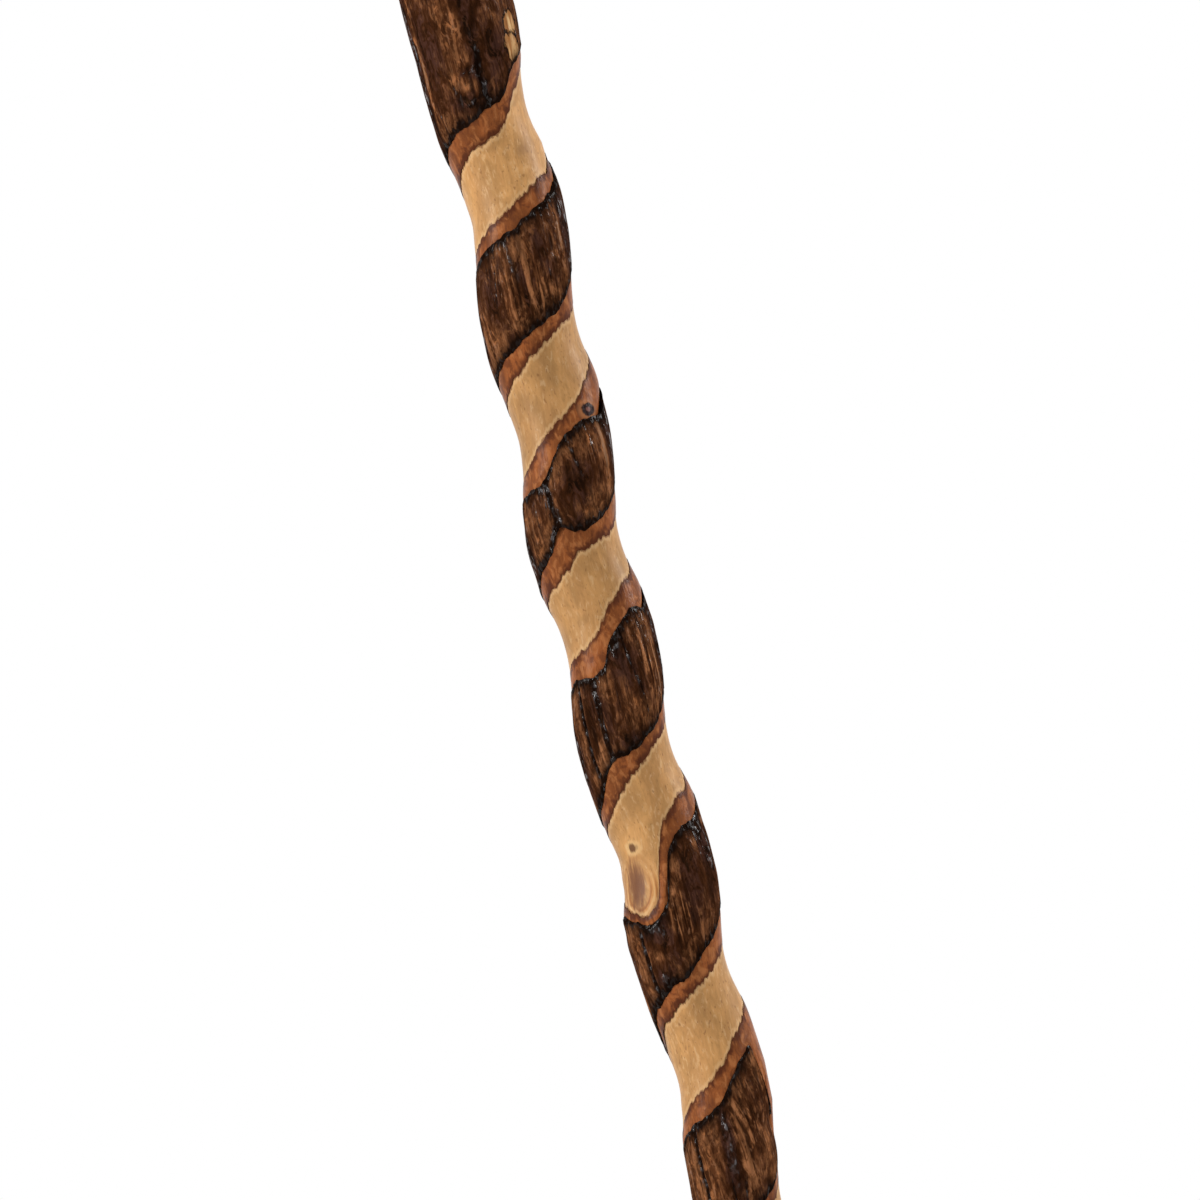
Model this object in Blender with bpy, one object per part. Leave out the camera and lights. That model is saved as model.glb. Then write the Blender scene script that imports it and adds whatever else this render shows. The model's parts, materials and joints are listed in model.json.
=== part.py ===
"""A wooden walking cane: a stick with its bark on, carved with one spiral groove, with a T handle
and a rubber tip.

Metres, +Z up. The origin is the middle of the tip's ground face, and the handle lies along X.
The groove cuts through both layers of bark, so it shows the wood between two bands of inner bark.
"""

import math

import bmesh
import bpy
from mathutils import Matrix, Vector

# Fits. Pieces that touch on the real cane keep this clearance, and a cutter runs past what it cuts.
GAP = 0.0003
OVERRUN = 0.010
WELD = 1e-6

# Stick: (height, radius) of its crests, and (height, x, y) of its middle line's natural sway
STICK_SIDES = 16
BARK_BOTTOM = 0.0485
STICK_TOP = 0.880
STICK_ROWS = 36
CREST_RADII = ((0.0485, 0.0122), (0.400, 0.01315), (0.700, 0.0144), (0.880, 0.0150))
SWAY = (
    (0.060, 0.0, 0.0),
    (0.160, -0.0004, 0.0007),
    (0.280, -0.0009, -0.0004),
    (0.412, 0.0009, 0.0004),
    (0.433, 0.0018, 0.0004),
    (0.452, 0.0005, 0.0003),
    (0.550, -0.0012, -0.0005),
    (0.585, -0.0006, 0.0),
    (0.620, 0.0007, 0.0004),
    (0.640, 0.0007, 0.0006),
    (0.660, 0.0017, 0.0006),
    (0.690, 0.0008, 0.0),
    (0.706, 0.0002, -0.0003),
    (0.760, -0.0003, -0.0006),
    (0.850, 0.0, 0.0),
)

# Layers, from the crest inwards
OUTER_BARK = 0.0015
INNER_BARK = 0.00075
WOOD_DEPTH = OUTER_BARK + INNER_BARK + 2 * GAP

# Spiral groove: the heights at which its middle crosses the cane's front, from the bottom up.
# A turn is counted from the lowest crossing, and the front is at -Y.
CROSSINGS = (0.2500, 0.3085, 0.3670, 0.4290, 0.4900, 0.5490, 0.6025, 0.6605)
GROOVE_DEPTH = 0.0036
GROOVE_LIFT = 0.0005
GROOVE_HALF_WIDTH = 0.0275
GROOVE_SPAN = 0.92
GROOVE_BACK = 0.004
GROOVE_POINTS = 9
GROOVE_START = (-0.62, -0.10)
GROOVE_END = (7.28, 7.80)

# Oval branch knot on the groove's lower edge, degrees from the front towards +X, and how far the
# wood swells around it
KNOT_HEIGHT = 0.4711
KNOT_ANGLE = -40.0
KNOT_LIFT = 0.0010
KNOT_SEMI_AXES = (0.0045, 0.0074, 0.0130)
KNOT_FACETS = 3
SWELLING = 0.0021
SWELLING_HEIGHT = 0.4630
SWELLING_ANGLE = -78.0
SWELLING_HALF_HEIGHT = 0.0080
SWELLING_HALF_ANGLE = 45.0

# Tenons and the screw that holds the handle
FOOT_TENON_RADIUS = 0.0092
TOP_TENON_RADIUS = 0.0090
TOP_TENON_TOP = 0.9140
TENON_CHAMFER = 0.0005
SCREW_RADIUS = 0.0029
SCREW_TIP = 0.8570
SCREW_POINT = 0.0060
SCREW_SIDES = 16
HEAD_ACROSS_CORNERS = 0.0106
HEAD_HEIGHT = 0.0040
WASHER_RADIUS = 0.0060
WASHER_THICKNESS = 0.0012
WASHER_SIDES = 24
SEAT_HEIGHT = 0.9250

# Collar between the stick and the handle
COLLAR_HEIGHT = 0.0080
COLLAR_RADIUS = 0.0153
COLLAR_BEAD = 0.0006
COLLAR_SIDES = 24

# Handle: (x, height of the middle, half height, half width) of its grip, and its neck's outline
GRIP_SECTIONS = (
    (-0.0460, 0.9150, 0.0040, 0.0050),
    (-0.0440, 0.9160, 0.0078, 0.0088),
    (-0.0390, 0.9180, 0.0106, 0.0114),
    (-0.0280, 0.9216, 0.0126, 0.0130),
    (-0.0120, 0.9252, 0.0138, 0.0142),
    (0.0040, 0.9262, 0.0138, 0.0144),
    (0.0220, 0.9260, 0.0132, 0.0138),
    (0.0420, 0.9244, 0.0122, 0.0130),
    (0.0600, 0.9216, 0.0116, 0.0126),
    (0.0720, 0.9192, 0.0108, 0.0120),
    (0.0780, 0.9178, 0.0084, 0.0098),
    (0.0805, 0.9170, 0.0044, 0.0056),
)
GRIP_SIDES = 16
GRIP_SQUARENESS = 2.3
NECK_OUTLINE = (
    (0.0148, 0.0),
    (0.0141, 0.0050),
    (0.0138, 0.0110),
    (0.0139, 0.0180),
    (0.0136, 0.0255),
    (0.0126, 0.0310),
)
NECK_SIDES = 20
HANDLE_SHARP_ANGLE = math.radians(50)
PLUG_TOP = 0.9402
PLUG_CROWN = 0.0004
PLUG_FLAT = 0.6

# Rubber tip: its bore, the (radius, height) points of its outside from the lip down to the ground,
# and the outer and inner radii of its tread grooves
TIP_SIDES = 24
TIP_TOP = 0.0480
TIP_LIP = 0.0008
TIP_FLOOR = 0.0100
TIP_OUTSIDE = (
    (0.0120, 0.0480),
    (0.0126, 0.0472),
    (0.0126, 0.0440),
    (0.0121, 0.0430),
    (0.0121, 0.0400),
    (0.0127, 0.0390),
    (0.0129, 0.0300),
    (0.0138, 0.0200),
    (0.0158, 0.0125),
    (0.0182, 0.0090),
    (0.0190, 0.0070),
    (0.0190, 0.0012),
    (0.0180, 0.0),
)
TIP_TREADS = ((0.0145, 0.0125), (0.0085, 0.0065))
TIP_TREAD_DEPTH = 0.0020
TIP_WASHER_THICKNESS = 0.0015

SHARP_ANGLE = math.radians(35)

# Finishes: colour, roughness and how metallic
FINISHES = {
    "shaft_wood": ((0.46, 0.25, 0.105), 0.35, 0.0),
    "inner_bark": ((0.28, 0.095, 0.035), 0.4, 0.0),
    "outer_bark": ((0.070, 0.027, 0.011), 0.35, 0.0),
    "collar_brass": ((0.72, 0.50, 0.20), 0.28, 1.0),
    "handle_wood": ((0.42, 0.22, 0.09), 0.32, 0.0),
    "plug_wood": ((0.28, 0.095, 0.035), 0.35, 0.0),
    "fixing_steel": ((0.50, 0.51, 0.52), 0.35, 1.0),
    "tip_rubber": ((0.018, 0.017, 0.016), 0.7, 0.0),
    "tip_steel": ((0.50, 0.51, 0.52), 0.4, 1.0),
}


def material(name):
    """A plain Principled finish."""
    colour, roughness, metallic = FINISHES[name]
    made = bpy.data.materials.new(name)
    made.use_nodes = True
    shader = made.node_tree.nodes["Principled BSDF"]
    shader.inputs["Base Color"].default_value = (*colour, 1.0)
    shader.inputs["Roughness"].default_value = roughness
    shader.inputs["Metallic"].default_value = metallic
    return made


def placed(name, shape, finish=None):
    """Turns a bmesh into an object of the scene, with its faces outwards and its round sides smooth."""
    bmesh.ops.recalc_face_normals(shape, faces=shape.faces)
    mesh = bpy.data.meshes.new(name)
    shape.to_mesh(mesh)
    shape.free()
    mesh.shade_smooth()
    mesh.set_sharp_from_angle(angle=SHARP_ANGLE)
    piece = bpy.data.objects.new(name, mesh)
    bpy.context.collection.objects.link(piece)
    if finish:
        mesh.materials.append(finish)
    return piece


def helper(name, shape):
    """A solid that only cuts or joins others."""
    piece = placed(name, shape)
    piece.hide_render = True
    piece.display_type = "WIRE"
    return piece


def combine(piece, other, operation="DIFFERENCE"):
    """Adds a Boolean modifier."""
    modifier = piece.modifiers.new(f"{operation} {other.name}", "BOOLEAN")
    modifier.operation = operation
    modifier.object = other
    modifier.solver = "EXACT"


def finished(piece, sharp_angle=SHARP_ANGLE):
    """Applies the Booleans, so that the edges they leave are shaded sharp."""
    graph = bpy.context.evaluated_depsgraph_get()
    mesh = bpy.data.meshes.new_from_object(piece.evaluated_get(graph))
    piece.modifiers.clear()
    piece.data = mesh
    mesh.set_sharp_from_angle(angle=sharp_angle)


def turned(outline, sides, closed=False):
    """A shape spun about Z from (radius, height) points, which start and end on the axis unless closed."""
    shape = bmesh.new()
    points = [shape.verts.new((radius, 0.0, height)) for radius, height in outline]
    edges = [shape.edges.new(pair) for pair in zip(points, points[1:])]
    if closed:
        edges.append(shape.edges.new((points[-1], points[0])))
    bmesh.ops.spin(
        shape,
        geom=points + edges,
        cent=(0, 0, 0),
        axis=(0, 0, 1),
        angle=math.tau,
        steps=sides,
        use_merge=True,
    )
    bmesh.ops.remove_doubles(shape, verts=shape.verts, dist=WELD)
    return shape


def swept(rings):
    """A closed shape through rings with the same number of points."""
    shape = bmesh.new()
    loops = [[shape.verts.new(point) for point in ring] for ring in rings]
    for lower, upper in zip(loops, loops[1:]):
        for i, point in enumerate(lower):
            j = (i + 1) % len(lower)
            shape.faces.new((point, lower[j], upper[j], upper[i]))
    shape.faces.new(loops[0])
    shape.faces.new(loops[-1])
    return shape


def eased(share):
    """0 to 1 with level ends."""
    share = min(max(share, 0.0), 1.0)
    return share * share * (3 - 2 * share)


def between(stations, height):
    """The values at a height, eased from station to station."""
    if height <= stations[0][0]:
        return stations[0][1:]
    for (low, *before), (high, *after) in zip(stations, stations[1:]):
        if height <= high:
            share = eased((height - low) / (high - low))
            return [a + (b - a) * share for a, b in zip(before, after)]
    return stations[-1][1:]


def crest_radius(height):
    """The stick's radius at a height, linear between stations."""
    for (low, before), (high, after) in zip(CREST_RADII, CREST_RADII[1:]):
        if height <= high:
            return before + (after - before) * (height - low) / (high - low)
    return CREST_RADII[-1][1]


def swayed(shape):
    """Moves a straight shape onto the stick's own middle line."""
    for point in shape.verts:
        x, y = between(SWAY, point.co.z)
        point.co += Vector((x, y, 0.0))
    return shape


def stick_rows():
    """Heights of the stick's rings, from the foot up."""
    step = (STICK_TOP - BARK_BOTTOM) / STICK_ROWS
    return [BARK_BOTTOM + step * i for i in range(STICK_ROWS + 1)]


def crossing(turn):
    """The height of the groove's middle after some turns, on a smooth curve through the crossings."""
    first = min(max(math.floor(turn), 0), len(CROSSINGS) - 2)
    share = turn - first
    low, high = CROSSINGS[first], CROSSINGS[first + 1]
    before = CROSSINGS[first - 1] if first > 0 else 2 * low - high
    after = CROSSINGS[first + 2] if first + 2 < len(CROSSINGS) else 2 * high - low
    if not 0 <= share <= 1:
        edge, pitch = (low, high - low) if share < 0 else (high, high - low)
        return edge + pitch * (share if share < 0 else share - 1)
    squared = 2 * before - 5 * low + 4 * high - after
    cubed = 3 * low - before - 3 * high + after
    return 0.5 * (2 * low + (high - before) * share + squared * share**2 + cubed * share**3)


def groove_depth(turn):
    """How deep the groove is after some turns: it runs out at both ends."""
    start, full = GROOVE_START
    fading, end = GROOVE_END
    return GROOVE_DEPTH * eased((turn - start) / (full - start)) * eased((end - turn) / (end - fading))


def knot_swelling(side, height):
    """How far the wood stands up around the knot, at a side in degrees from the front."""
    around = ((side - SWELLING_ANGLE + 180) % 360 - 180) / SWELLING_HALF_ANGLE
    along = (height - SWELLING_HEIGHT) / SWELLING_HALF_HEIGHT
    return SWELLING * math.exp(-(around**2) - along**2)


def groove_cutter():
    """The groove as one solid that winds up the stick, with a bell-shaped section."""
    start, end = GROOVE_START[0], GROOVE_END[1]
    steps = round((end - start) * STICK_SIDES)
    first_step = round(start * STICK_SIDES)
    rings = []
    for step in range(first_step, first_step + steps + 1):
        turn = step / STICK_SIDES
        angle = math.tau * (turn - 0.25)
        middle = crossing(turn)
        depth = groove_depth(turn) + GROOVE_LIFT
        ring = []
        for i in range(GROOVE_POINTS):
            across = (2 * i / (GROOVE_POINTS - 1) - 1) * GROOVE_SPAN
            bell = (1 + math.cos(math.pi * across)) / 2
            height = middle + across * GROOVE_HALF_WIDTH
            rise = GROOVE_LIFT - depth * bell + knot_swelling(turn * 360, height)
            ring.append((crest_radius(height) + rise, height))
        for side in (1, -1):
            height = middle + side * GROOVE_SPAN * GROOVE_HALF_WIDTH
            ring.append((crest_radius(height) + GROOVE_BACK, height))
        rings.append([(r * math.cos(angle), r * math.sin(angle), z) for r, z in ring])
    return helper("groove_cutter", swayed(swept(rings)))


def knot_cutter():
    """The shallow oval that bares the branch knot."""
    angle = math.radians(KNOT_ANGLE - 90)
    reach = crest_radius(KNOT_HEIGHT) + KNOT_LIFT
    shape = bmesh.new()
    place = (
        Matrix.Translation((reach * math.cos(angle), reach * math.sin(angle), KNOT_HEIGHT))
        @ Matrix.Rotation(angle, 4, "Z")
        @ Matrix.Diagonal((*KNOT_SEMI_AXES, 1.0))
    )
    bmesh.ops.create_icosphere(shape, subdivisions=KNOT_FACETS, radius=1.0, matrix=place)
    return helper("knot_cutter", swayed(shape))


def bark_sleeve(depth, thickness):
    """A layer of bark before it is carved, depth below the crest."""
    rows = stick_rows()
    outside = [(crest_radius(z) - depth, z) for z in reversed(rows)]
    inside = [(crest_radius(z) - depth - thickness, z) for z in rows]
    return swayed(turned(outside + inside, STICK_SIDES, closed=True))


def shaft_blank():
    """The wood before it is carved, with its two tenons and the screw's pilot hole."""
    floor = TIP_FLOOR + TIP_WASHER_THICKNESS + 2 * GAP
    hole = SCREW_RADIUS + GAP
    hole_bottom = SCREW_TIP - GAP
    core = [(crest_radius(z) - WOOD_DEPTH, z) for z in stick_rows()]
    outline = [
        (0.0, floor),
        (FOOT_TENON_RADIUS - TENON_CHAMFER, floor),
        (FOOT_TENON_RADIUS, floor + TENON_CHAMFER),
        (FOOT_TENON_RADIUS, BARK_BOTTOM),
        *core[1:],
        (TOP_TENON_RADIUS, STICK_TOP),
        (TOP_TENON_RADIUS, TOP_TENON_TOP - TENON_CHAMFER),
        (TOP_TENON_RADIUS - TENON_CHAMFER, TOP_TENON_TOP),
        (hole, TOP_TENON_TOP),
        (hole, hole_bottom + SCREW_POINT),
        (0.0, hole_bottom),
    ]
    return swayed(turned(outline, STICK_SIDES))


def build_stick():
    """The wood, the inner bark and the outer bark, all carved by the same two cutters."""
    wood = placed("shaft", shaft_blank(), material("shaft_wood"))
    inner = placed("inner_bark", bark_sleeve(OUTER_BARK + GAP, INNER_BARK), material("inner_bark"))
    outer = placed("outer_bark", bark_sleeve(0.0, OUTER_BARK), material("outer_bark"))
    cutters = (knot_cutter(), groove_cutter())
    for layer in (wood, inner, outer):
        for cutter in cutters:
            combine(layer, cutter)
        finished(layer)


def build_collar():
    """The turned brass ring between the stick and the handle."""
    bottom = STICK_TOP + GAP
    top = bottom + COLLAR_HEIGHT
    bore = TOP_TENON_RADIUS + GAP
    edge = COLLAR_RADIUS - COLLAR_BEAD
    third = COLLAR_HEIGHT / 3
    outline = [
        (bore, top),
        (edge - COLLAR_BEAD / 2, top),
        (edge, top - COLLAR_BEAD / 2),
        (edge, top - third + COLLAR_BEAD),
        (COLLAR_RADIUS, top - third),
        (COLLAR_RADIUS, bottom + third),
        (edge, bottom + third - COLLAR_BEAD),
        (edge, bottom + COLLAR_BEAD / 2),
        (edge - COLLAR_BEAD / 2, bottom),
        (bore, bottom),
    ]
    placed("collar", turned(outline, COLLAR_SIDES, closed=True), material("collar_brass"))


def grip_ring(x, middle, half_height, half_width):
    """One section of the grip: an oval with slightly flattened sides."""
    ring = []
    for i in range(GRIP_SIDES):
        angle = math.tau * i / GRIP_SIDES
        across, up = math.cos(angle), math.sin(angle)
        across = math.copysign(abs(across) ** (2 / GRIP_SQUARENESS), across)
        up = math.copysign(abs(up) ** (2 / GRIP_SQUARENESS), up)
        ring.append((x, half_width * across, middle + half_height * up))
    return ring


def build_handle():
    """The grip with its neck, bored for the stick's tenon, the screw and the plug."""
    neck_bottom = STICK_TOP + COLLAR_HEIGHT + 2 * GAP
    grip = swept([grip_ring(*section) for section in GRIP_SECTIONS])
    handle = placed("handle", grip, material("handle_wood"))
    neck = [(radius, neck_bottom + up) for radius, up in NECK_OUTLINE]
    neck = [(0.0, neck[0][1]), *neck, (0.0, neck[-1][1])]
    bores = [
        (0.0, neck_bottom - OVERRUN),
        (TOP_TENON_RADIUS + GAP, neck_bottom - OVERRUN),
        (TOP_TENON_RADIUS + GAP, TOP_TENON_TOP + GAP),
        (SCREW_RADIUS + GAP, TOP_TENON_TOP + GAP),
        (SCREW_RADIUS + GAP, SEAT_HEIGHT),
        (WASHER_RADIUS + GAP, SEAT_HEIGHT),
        (WASHER_RADIUS + GAP, PLUG_TOP + OVERRUN),
        (0.0, PLUG_TOP + OVERRUN),
    ]
    combine(handle, helper("handle_neck", turned(neck, NECK_SIDES)), "UNION")
    combine(handle, helper("handle_bores", turned(bores, NECK_SIDES)))
    finished(handle, HANDLE_SHARP_ANGLE)


def build_handle_fixing():
    """The washer, the screw that pulls the handle down onto the tenon, and the wooden plug over it."""
    steel = material("fixing_steel")
    washer_bottom = SEAT_HEIGHT + GAP
    washer_top = washer_bottom + WASHER_THICKNESS
    hole = SCREW_RADIUS + GAP
    washer = [
        (hole, washer_top),
        (WASHER_RADIUS, washer_top),
        (WASHER_RADIUS, washer_bottom),
        (hole, washer_bottom),
    ]
    placed("screw_washer", turned(washer, WASHER_SIDES, closed=True), steel)

    head_bottom = washer_top + GAP
    shank = [
        (0.0, SCREW_TIP),
        (SCREW_RADIUS, SCREW_TIP + SCREW_POINT),
        (SCREW_RADIUS, head_bottom + HEAD_HEIGHT / 2),
        (0.0, head_bottom + HEAD_HEIGHT / 2),
    ]
    head = bmesh.new()
    bmesh.ops.create_cone(
        head,
        cap_ends=True,
        segments=6,
        radius1=HEAD_ACROSS_CORNERS / 2,
        radius2=HEAD_ACROSS_CORNERS / 2,
        depth=HEAD_HEIGHT,
        matrix=Matrix.Translation((0, 0, head_bottom + HEAD_HEIGHT / 2)),
    )
    screw = placed("handle_screw", turned(shank, SCREW_SIDES), steel)
    combine(screw, helper("screw_head", head), "UNION")
    finished(screw)

    plug_bottom = head_bottom + HEAD_HEIGHT + GAP
    plug = [
        (0.0, plug_bottom),
        (WASHER_RADIUS, plug_bottom),
        (WASHER_RADIUS, PLUG_TOP - 2 * PLUG_CROWN),
        (WASHER_RADIUS * PLUG_FLAT, PLUG_TOP - PLUG_CROWN),
        (0.0, PLUG_TOP - PLUG_CROWN / 2),
    ]
    placed("handle_plug", turned(plug, WASHER_SIDES), material("plug_wood"))


def build_tip():
    """The rubber tip, a bored foot with a ribbed waist and a grooved tread, and the disc inside it."""
    bore = FOOT_TENON_RADIUS + GAP
    outline = [
        (0.0, TIP_FLOOR),
        (bore, TIP_FLOOR),
        (bore, TIP_TOP - TIP_LIP),
        (bore + TIP_LIP, TIP_TOP),
        *TIP_OUTSIDE,
    ]
    for outer, inner in TIP_TREADS:
        outline += [(outer, 0.0), (outer, TIP_TREAD_DEPTH), (inner, TIP_TREAD_DEPTH), (inner, 0.0)]
    outline.append((0.0, 0.0))
    placed("rubber_tip", turned(outline, TIP_SIDES), material("tip_rubber"))

    bottom = TIP_FLOOR + GAP
    top = bottom + TIP_WASHER_THICKNESS
    disc = [
        (0.0, bottom),
        (FOOT_TENON_RADIUS, bottom),
        (FOOT_TENON_RADIUS, top),
        (0.0, top),
    ]
    placed("tip_washer", turned(disc, WASHER_SIDES), material("tip_steel"))


def main():
    for old in list(bpy.data.objects):
        bpy.data.objects.remove(old)
    build_stick()
    build_collar()
    build_handle()
    build_handle_fixing()
    build_tip()


main()
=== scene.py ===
"""Dresses the walking cane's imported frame: the carved wood and its two layers of bark, the handle,
the collar and the rubber tip, with their finishes, and the studio that they stand in.

Metres, +Z up, in the frame's own coordinates. A name that ends in _mm holds millimetres.
"""

import json
import math

import bmesh
import bpy
import numpy as np
from bpy.props import FloatProperty, FloatVectorProperty, PointerProperty
from mathutils import Matrix, Vector, noise

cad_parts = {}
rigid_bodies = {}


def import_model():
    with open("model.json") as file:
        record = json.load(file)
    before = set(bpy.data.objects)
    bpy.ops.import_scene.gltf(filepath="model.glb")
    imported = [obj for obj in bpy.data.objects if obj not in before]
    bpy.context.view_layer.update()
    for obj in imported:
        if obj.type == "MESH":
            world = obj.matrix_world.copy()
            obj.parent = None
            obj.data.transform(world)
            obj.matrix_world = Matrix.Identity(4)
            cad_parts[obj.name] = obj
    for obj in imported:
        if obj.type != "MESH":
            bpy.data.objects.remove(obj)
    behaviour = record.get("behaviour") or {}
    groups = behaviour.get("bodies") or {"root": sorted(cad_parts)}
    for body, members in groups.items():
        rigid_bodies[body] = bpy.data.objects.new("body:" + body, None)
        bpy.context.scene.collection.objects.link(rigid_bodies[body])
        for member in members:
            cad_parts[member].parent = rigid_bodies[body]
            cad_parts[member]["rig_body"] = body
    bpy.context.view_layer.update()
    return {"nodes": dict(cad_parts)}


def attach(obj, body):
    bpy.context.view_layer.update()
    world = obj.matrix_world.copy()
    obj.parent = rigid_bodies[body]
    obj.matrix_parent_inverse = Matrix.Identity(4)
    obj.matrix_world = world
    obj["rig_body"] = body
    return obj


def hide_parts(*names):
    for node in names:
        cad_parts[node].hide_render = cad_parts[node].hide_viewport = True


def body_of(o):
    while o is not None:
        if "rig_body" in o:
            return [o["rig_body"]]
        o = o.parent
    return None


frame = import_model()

bl_info = {
    "name": "Walking Cane",
    "version": (1, 0, 0),
    "blender": (4, 5, 0),
    "location": "3D View > Sidebar > Cane",
    "description": "Builds the looks of a spiral-carved walking cane around its frame",
    "category": "Object",
}

MM = 0.001

# Stick, as in the frame: its ends, the radius of its crests at some heights, and its swaying middle line, as
# height, x and y
STICK_BOTTOM = 0.0485
STICK_TOP = 0.880
CREST_RADII = ((0.0485, 0.0122), (0.400, 0.01315), (0.700, 0.0144), (0.880, 0.0150))
SWAY = (
    (0.060, 0.0, 0.0),
    (0.160, -0.0004, 0.0007),
    (0.280, -0.0009, -0.0004),
    (0.412, 0.0009, 0.0004),
    (0.433, 0.0018, 0.0004),
    (0.452, 0.0005, 0.0003),
    (0.550, -0.0012, -0.0005),
    (0.585, -0.0006, 0.0),
    (0.620, 0.0007, 0.0004),
    (0.640, 0.0007, 0.0006),
    (0.660, 0.0017, 0.0006),
    (0.690, 0.0008, 0.0),
    (0.706, 0.0002, -0.0003),
    (0.760, -0.0003, -0.0006),
    (0.850, 0.0, 0.0),
)

# Groove: the heights at which its middle crosses the front, and where it runs in and out.
# Turns are counted from the lowest crossing, and the front is at -Y.
CROSSINGS = (0.2500, 0.3085, 0.3670, 0.4290, 0.4900, 0.5490, 0.6025, 0.6605)
GROOVE_START = (-0.62, -0.10)
GROOVE_END = (7.28, 7.80)
GROOVE_HALF_WIDTH = 0.0275
GROOVE_DEPTH = 0.0036
GROOVE_FULLNESS = 0.8
BARK_SLOPE_DEPTH = 0.0035
BARK_SLOPE_FULLNESS = 1.15

# Winding of the layers: from which turn to which, and the sections in each turn
LOWEST_TURN, HIGHEST_TURN = -5, 11
COLUMNS = 180

# Layers: how deep below the crest each one starts, the gap between them and how far the inner bark stands up
# beside the outer bark
WOOD_INTERFACE = 0.00295
BARK_INTERFACE = 0.0023
LAYER_GAP = 0.00005
INNER_PROUD = 0.00012

# Widths over which the outer bark rises from its cut edge and a cut layer comes back to its own level, and
# the distance from an edge that the bark's finish reads where the groove is shut
EDGE_RISE = 0.0008
BLEND_IN = 0.004
CLOSED_SEAM = 0.009

# The thinnest that the layers get, and how thick the outer bark is at its cut edge
INNER_THINNEST = 0.06 * MM
OUTER_THINNEST = 0.25 * MM
OUTER_LIP = 0.08 * MM

# Ends of a layer nearer than these to the groove's middle count as nearly shut, and as shut
NEARLY_SHUT = 2 * MM
SHUT = 1e-7

# Rows in a section: of the wood at each side of the groove, which runs on under the bark, and of an underside
WOOD_ROWS = 7
WOOD_UNDER_BARK = 1 * MM
HIDDEN_ROWS = 4

# Edges far below and far above the stick, for the rings that close a layer
FAR_BELOW, FAR_ABOVE = -1.0, 2.0

# Where the layers end, in millimetres from the groove's middle:
# (turn, outer bark above, inner bark above, inner bark below, outer bark below)
LAYER_ENDS_MM = (
    (2.00, 14.0, 9.5, 10.0, 15.0),
    (2.15, 11.5, 8.0, 9.5, 14.5),
    (2.25, 15.5, 9.0, 9.5, 14.5),
    (2.45, 16.0, 10.0, 9.0, 14.0),
    (2.60, 13.3, 8.3, 11.7, 16.7),
    (2.80, 21.2, 17.0, 8.0, 13.2),
    (2.84, 20.0, 15.9, 7.9, 13.0),
    (2.92, 19.2, 14.4, 9.0, 15.4),
    (2.99, 17.0, 12.8, 10.2, 17.4),
    (3.05, 17.2, 11.8, 10.0, 15.2),
    (3.10, 17.3, 11.1, 8.2, 14.2),
    (3.150, 17.8, 10.4, 8.2, 13.8),
    (3.166, 18.0, 10.2, 8.2, 15.0),
    (3.175, 18.1, 10.1, 8.2, 22.0),
    (3.187, 18.3, 10.0, 8.2, 30.5),
    (3.206, 18.4, 9.9, 8.3, 35.0),
    (3.25, 18.5, 9.9, 8.6, 39.6),
    (3.36, 17.3, 9.8, 10.2, 36.0),
    (3.44, 16.8, 10.1, 11.0, 19.0),
    (3.50, 16.4, 10.4, 11.6, 16.6),
    (3.76, 15.2, 10.8, 8.6, 12.2),
    (3.80, 15.2, 10.8, 11.4, 13.8),
    (3.83, 15.3, 10.7, 14.6, 16.7),
    (3.87, 16.6, 10.5, 18.6, 20.5),
    (3.92, 18.2, 10.4, 21.9, 23.9),
    (3.95, 17.7, 11.5, 21.2, 24.6),
    (3.985, 16.0, 11.2, 14.5, 23.8),
    (4.01, 15.4, 10.9, 10.0, 17.8),
    (4.04, 14.6, 10.7, 7.2, 13.2),
    (4.10, 13.9, 10.3, 6.6, 12.6),
    (4.20, 15.0, 9.2, 8.6, 15.8),
    (4.50, 15.0, 11.0, 8.0, 14.0),
    (4.83, 17.2, 11.6, 8.2, 13.4),
    (4.88, 16.9, 10.0, 9.2, 15.8),
    (4.945, 20.2, 10.2, 11.0, 19.2),
    (4.975, 17.5, 10.6, 11.2, 19.5),
    (5.01, 14.5, 9.8, 9.9, 16.2),
    (5.04, 13.3, 9.0, 9.3, 14.6),
    (5.12, 11.6, 6.0, 7.9, 14.0),
    (5.20, 12.5, 4.8, 9.2, 18.2),
    (5.50, 15.0, 9.0, 10.0, 15.0),
    (5.83, 16.8, 10.6, 11.2, 16.8),
    (5.92, 16.1, 10.6, 10.7, 19.2),
    (5.98, 15.6, 10.8, 10.2, 16.2),
    (6.03, 14.6, 10.3, 10.3, 14.7),
    (6.10, 13.8, 9.2, 11.0, 16.0),
    (6.20, 15.0, 7.0, 8.8, 20.5),
    (6.50, 17.0, 10.0, 8.5, 15.0),
    (6.80, 19.2, 11.6, 8.5, 12.5),
    (6.90, 17.7, 11.3, 9.5, 13.3),
    (7.00, 15.2, 8.4, 11.0, 15.9),
    (7.06, 14.0, 8.3, 11.7, 16.7),
    (7.13, 16.4, 11.4, 12.4, 18.0),
    (7.20, 17.0, 12.4, 14.6, 18.5),
)
OUTER_ABOVE, INNER_ABOVE, INNER_BELOW, OUTER_BELOW = range(4)

# Torn line of the cut edges: the radius at which its noises are read, their size and stretch, how much the
# teeth add at the wood and in the bark, and the width over which it fades out where the groove closes
EDGE_RADIUS = 0.013
EDGE_WAVES = (3.2 * MM, 1.0)
EDGE_TEETH = (1.1 * MM, 1.0)
WOOD_TEARING = 0.6
BARK_TEARING = 0.2
EDGE_FADE = 3 * MM

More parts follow.
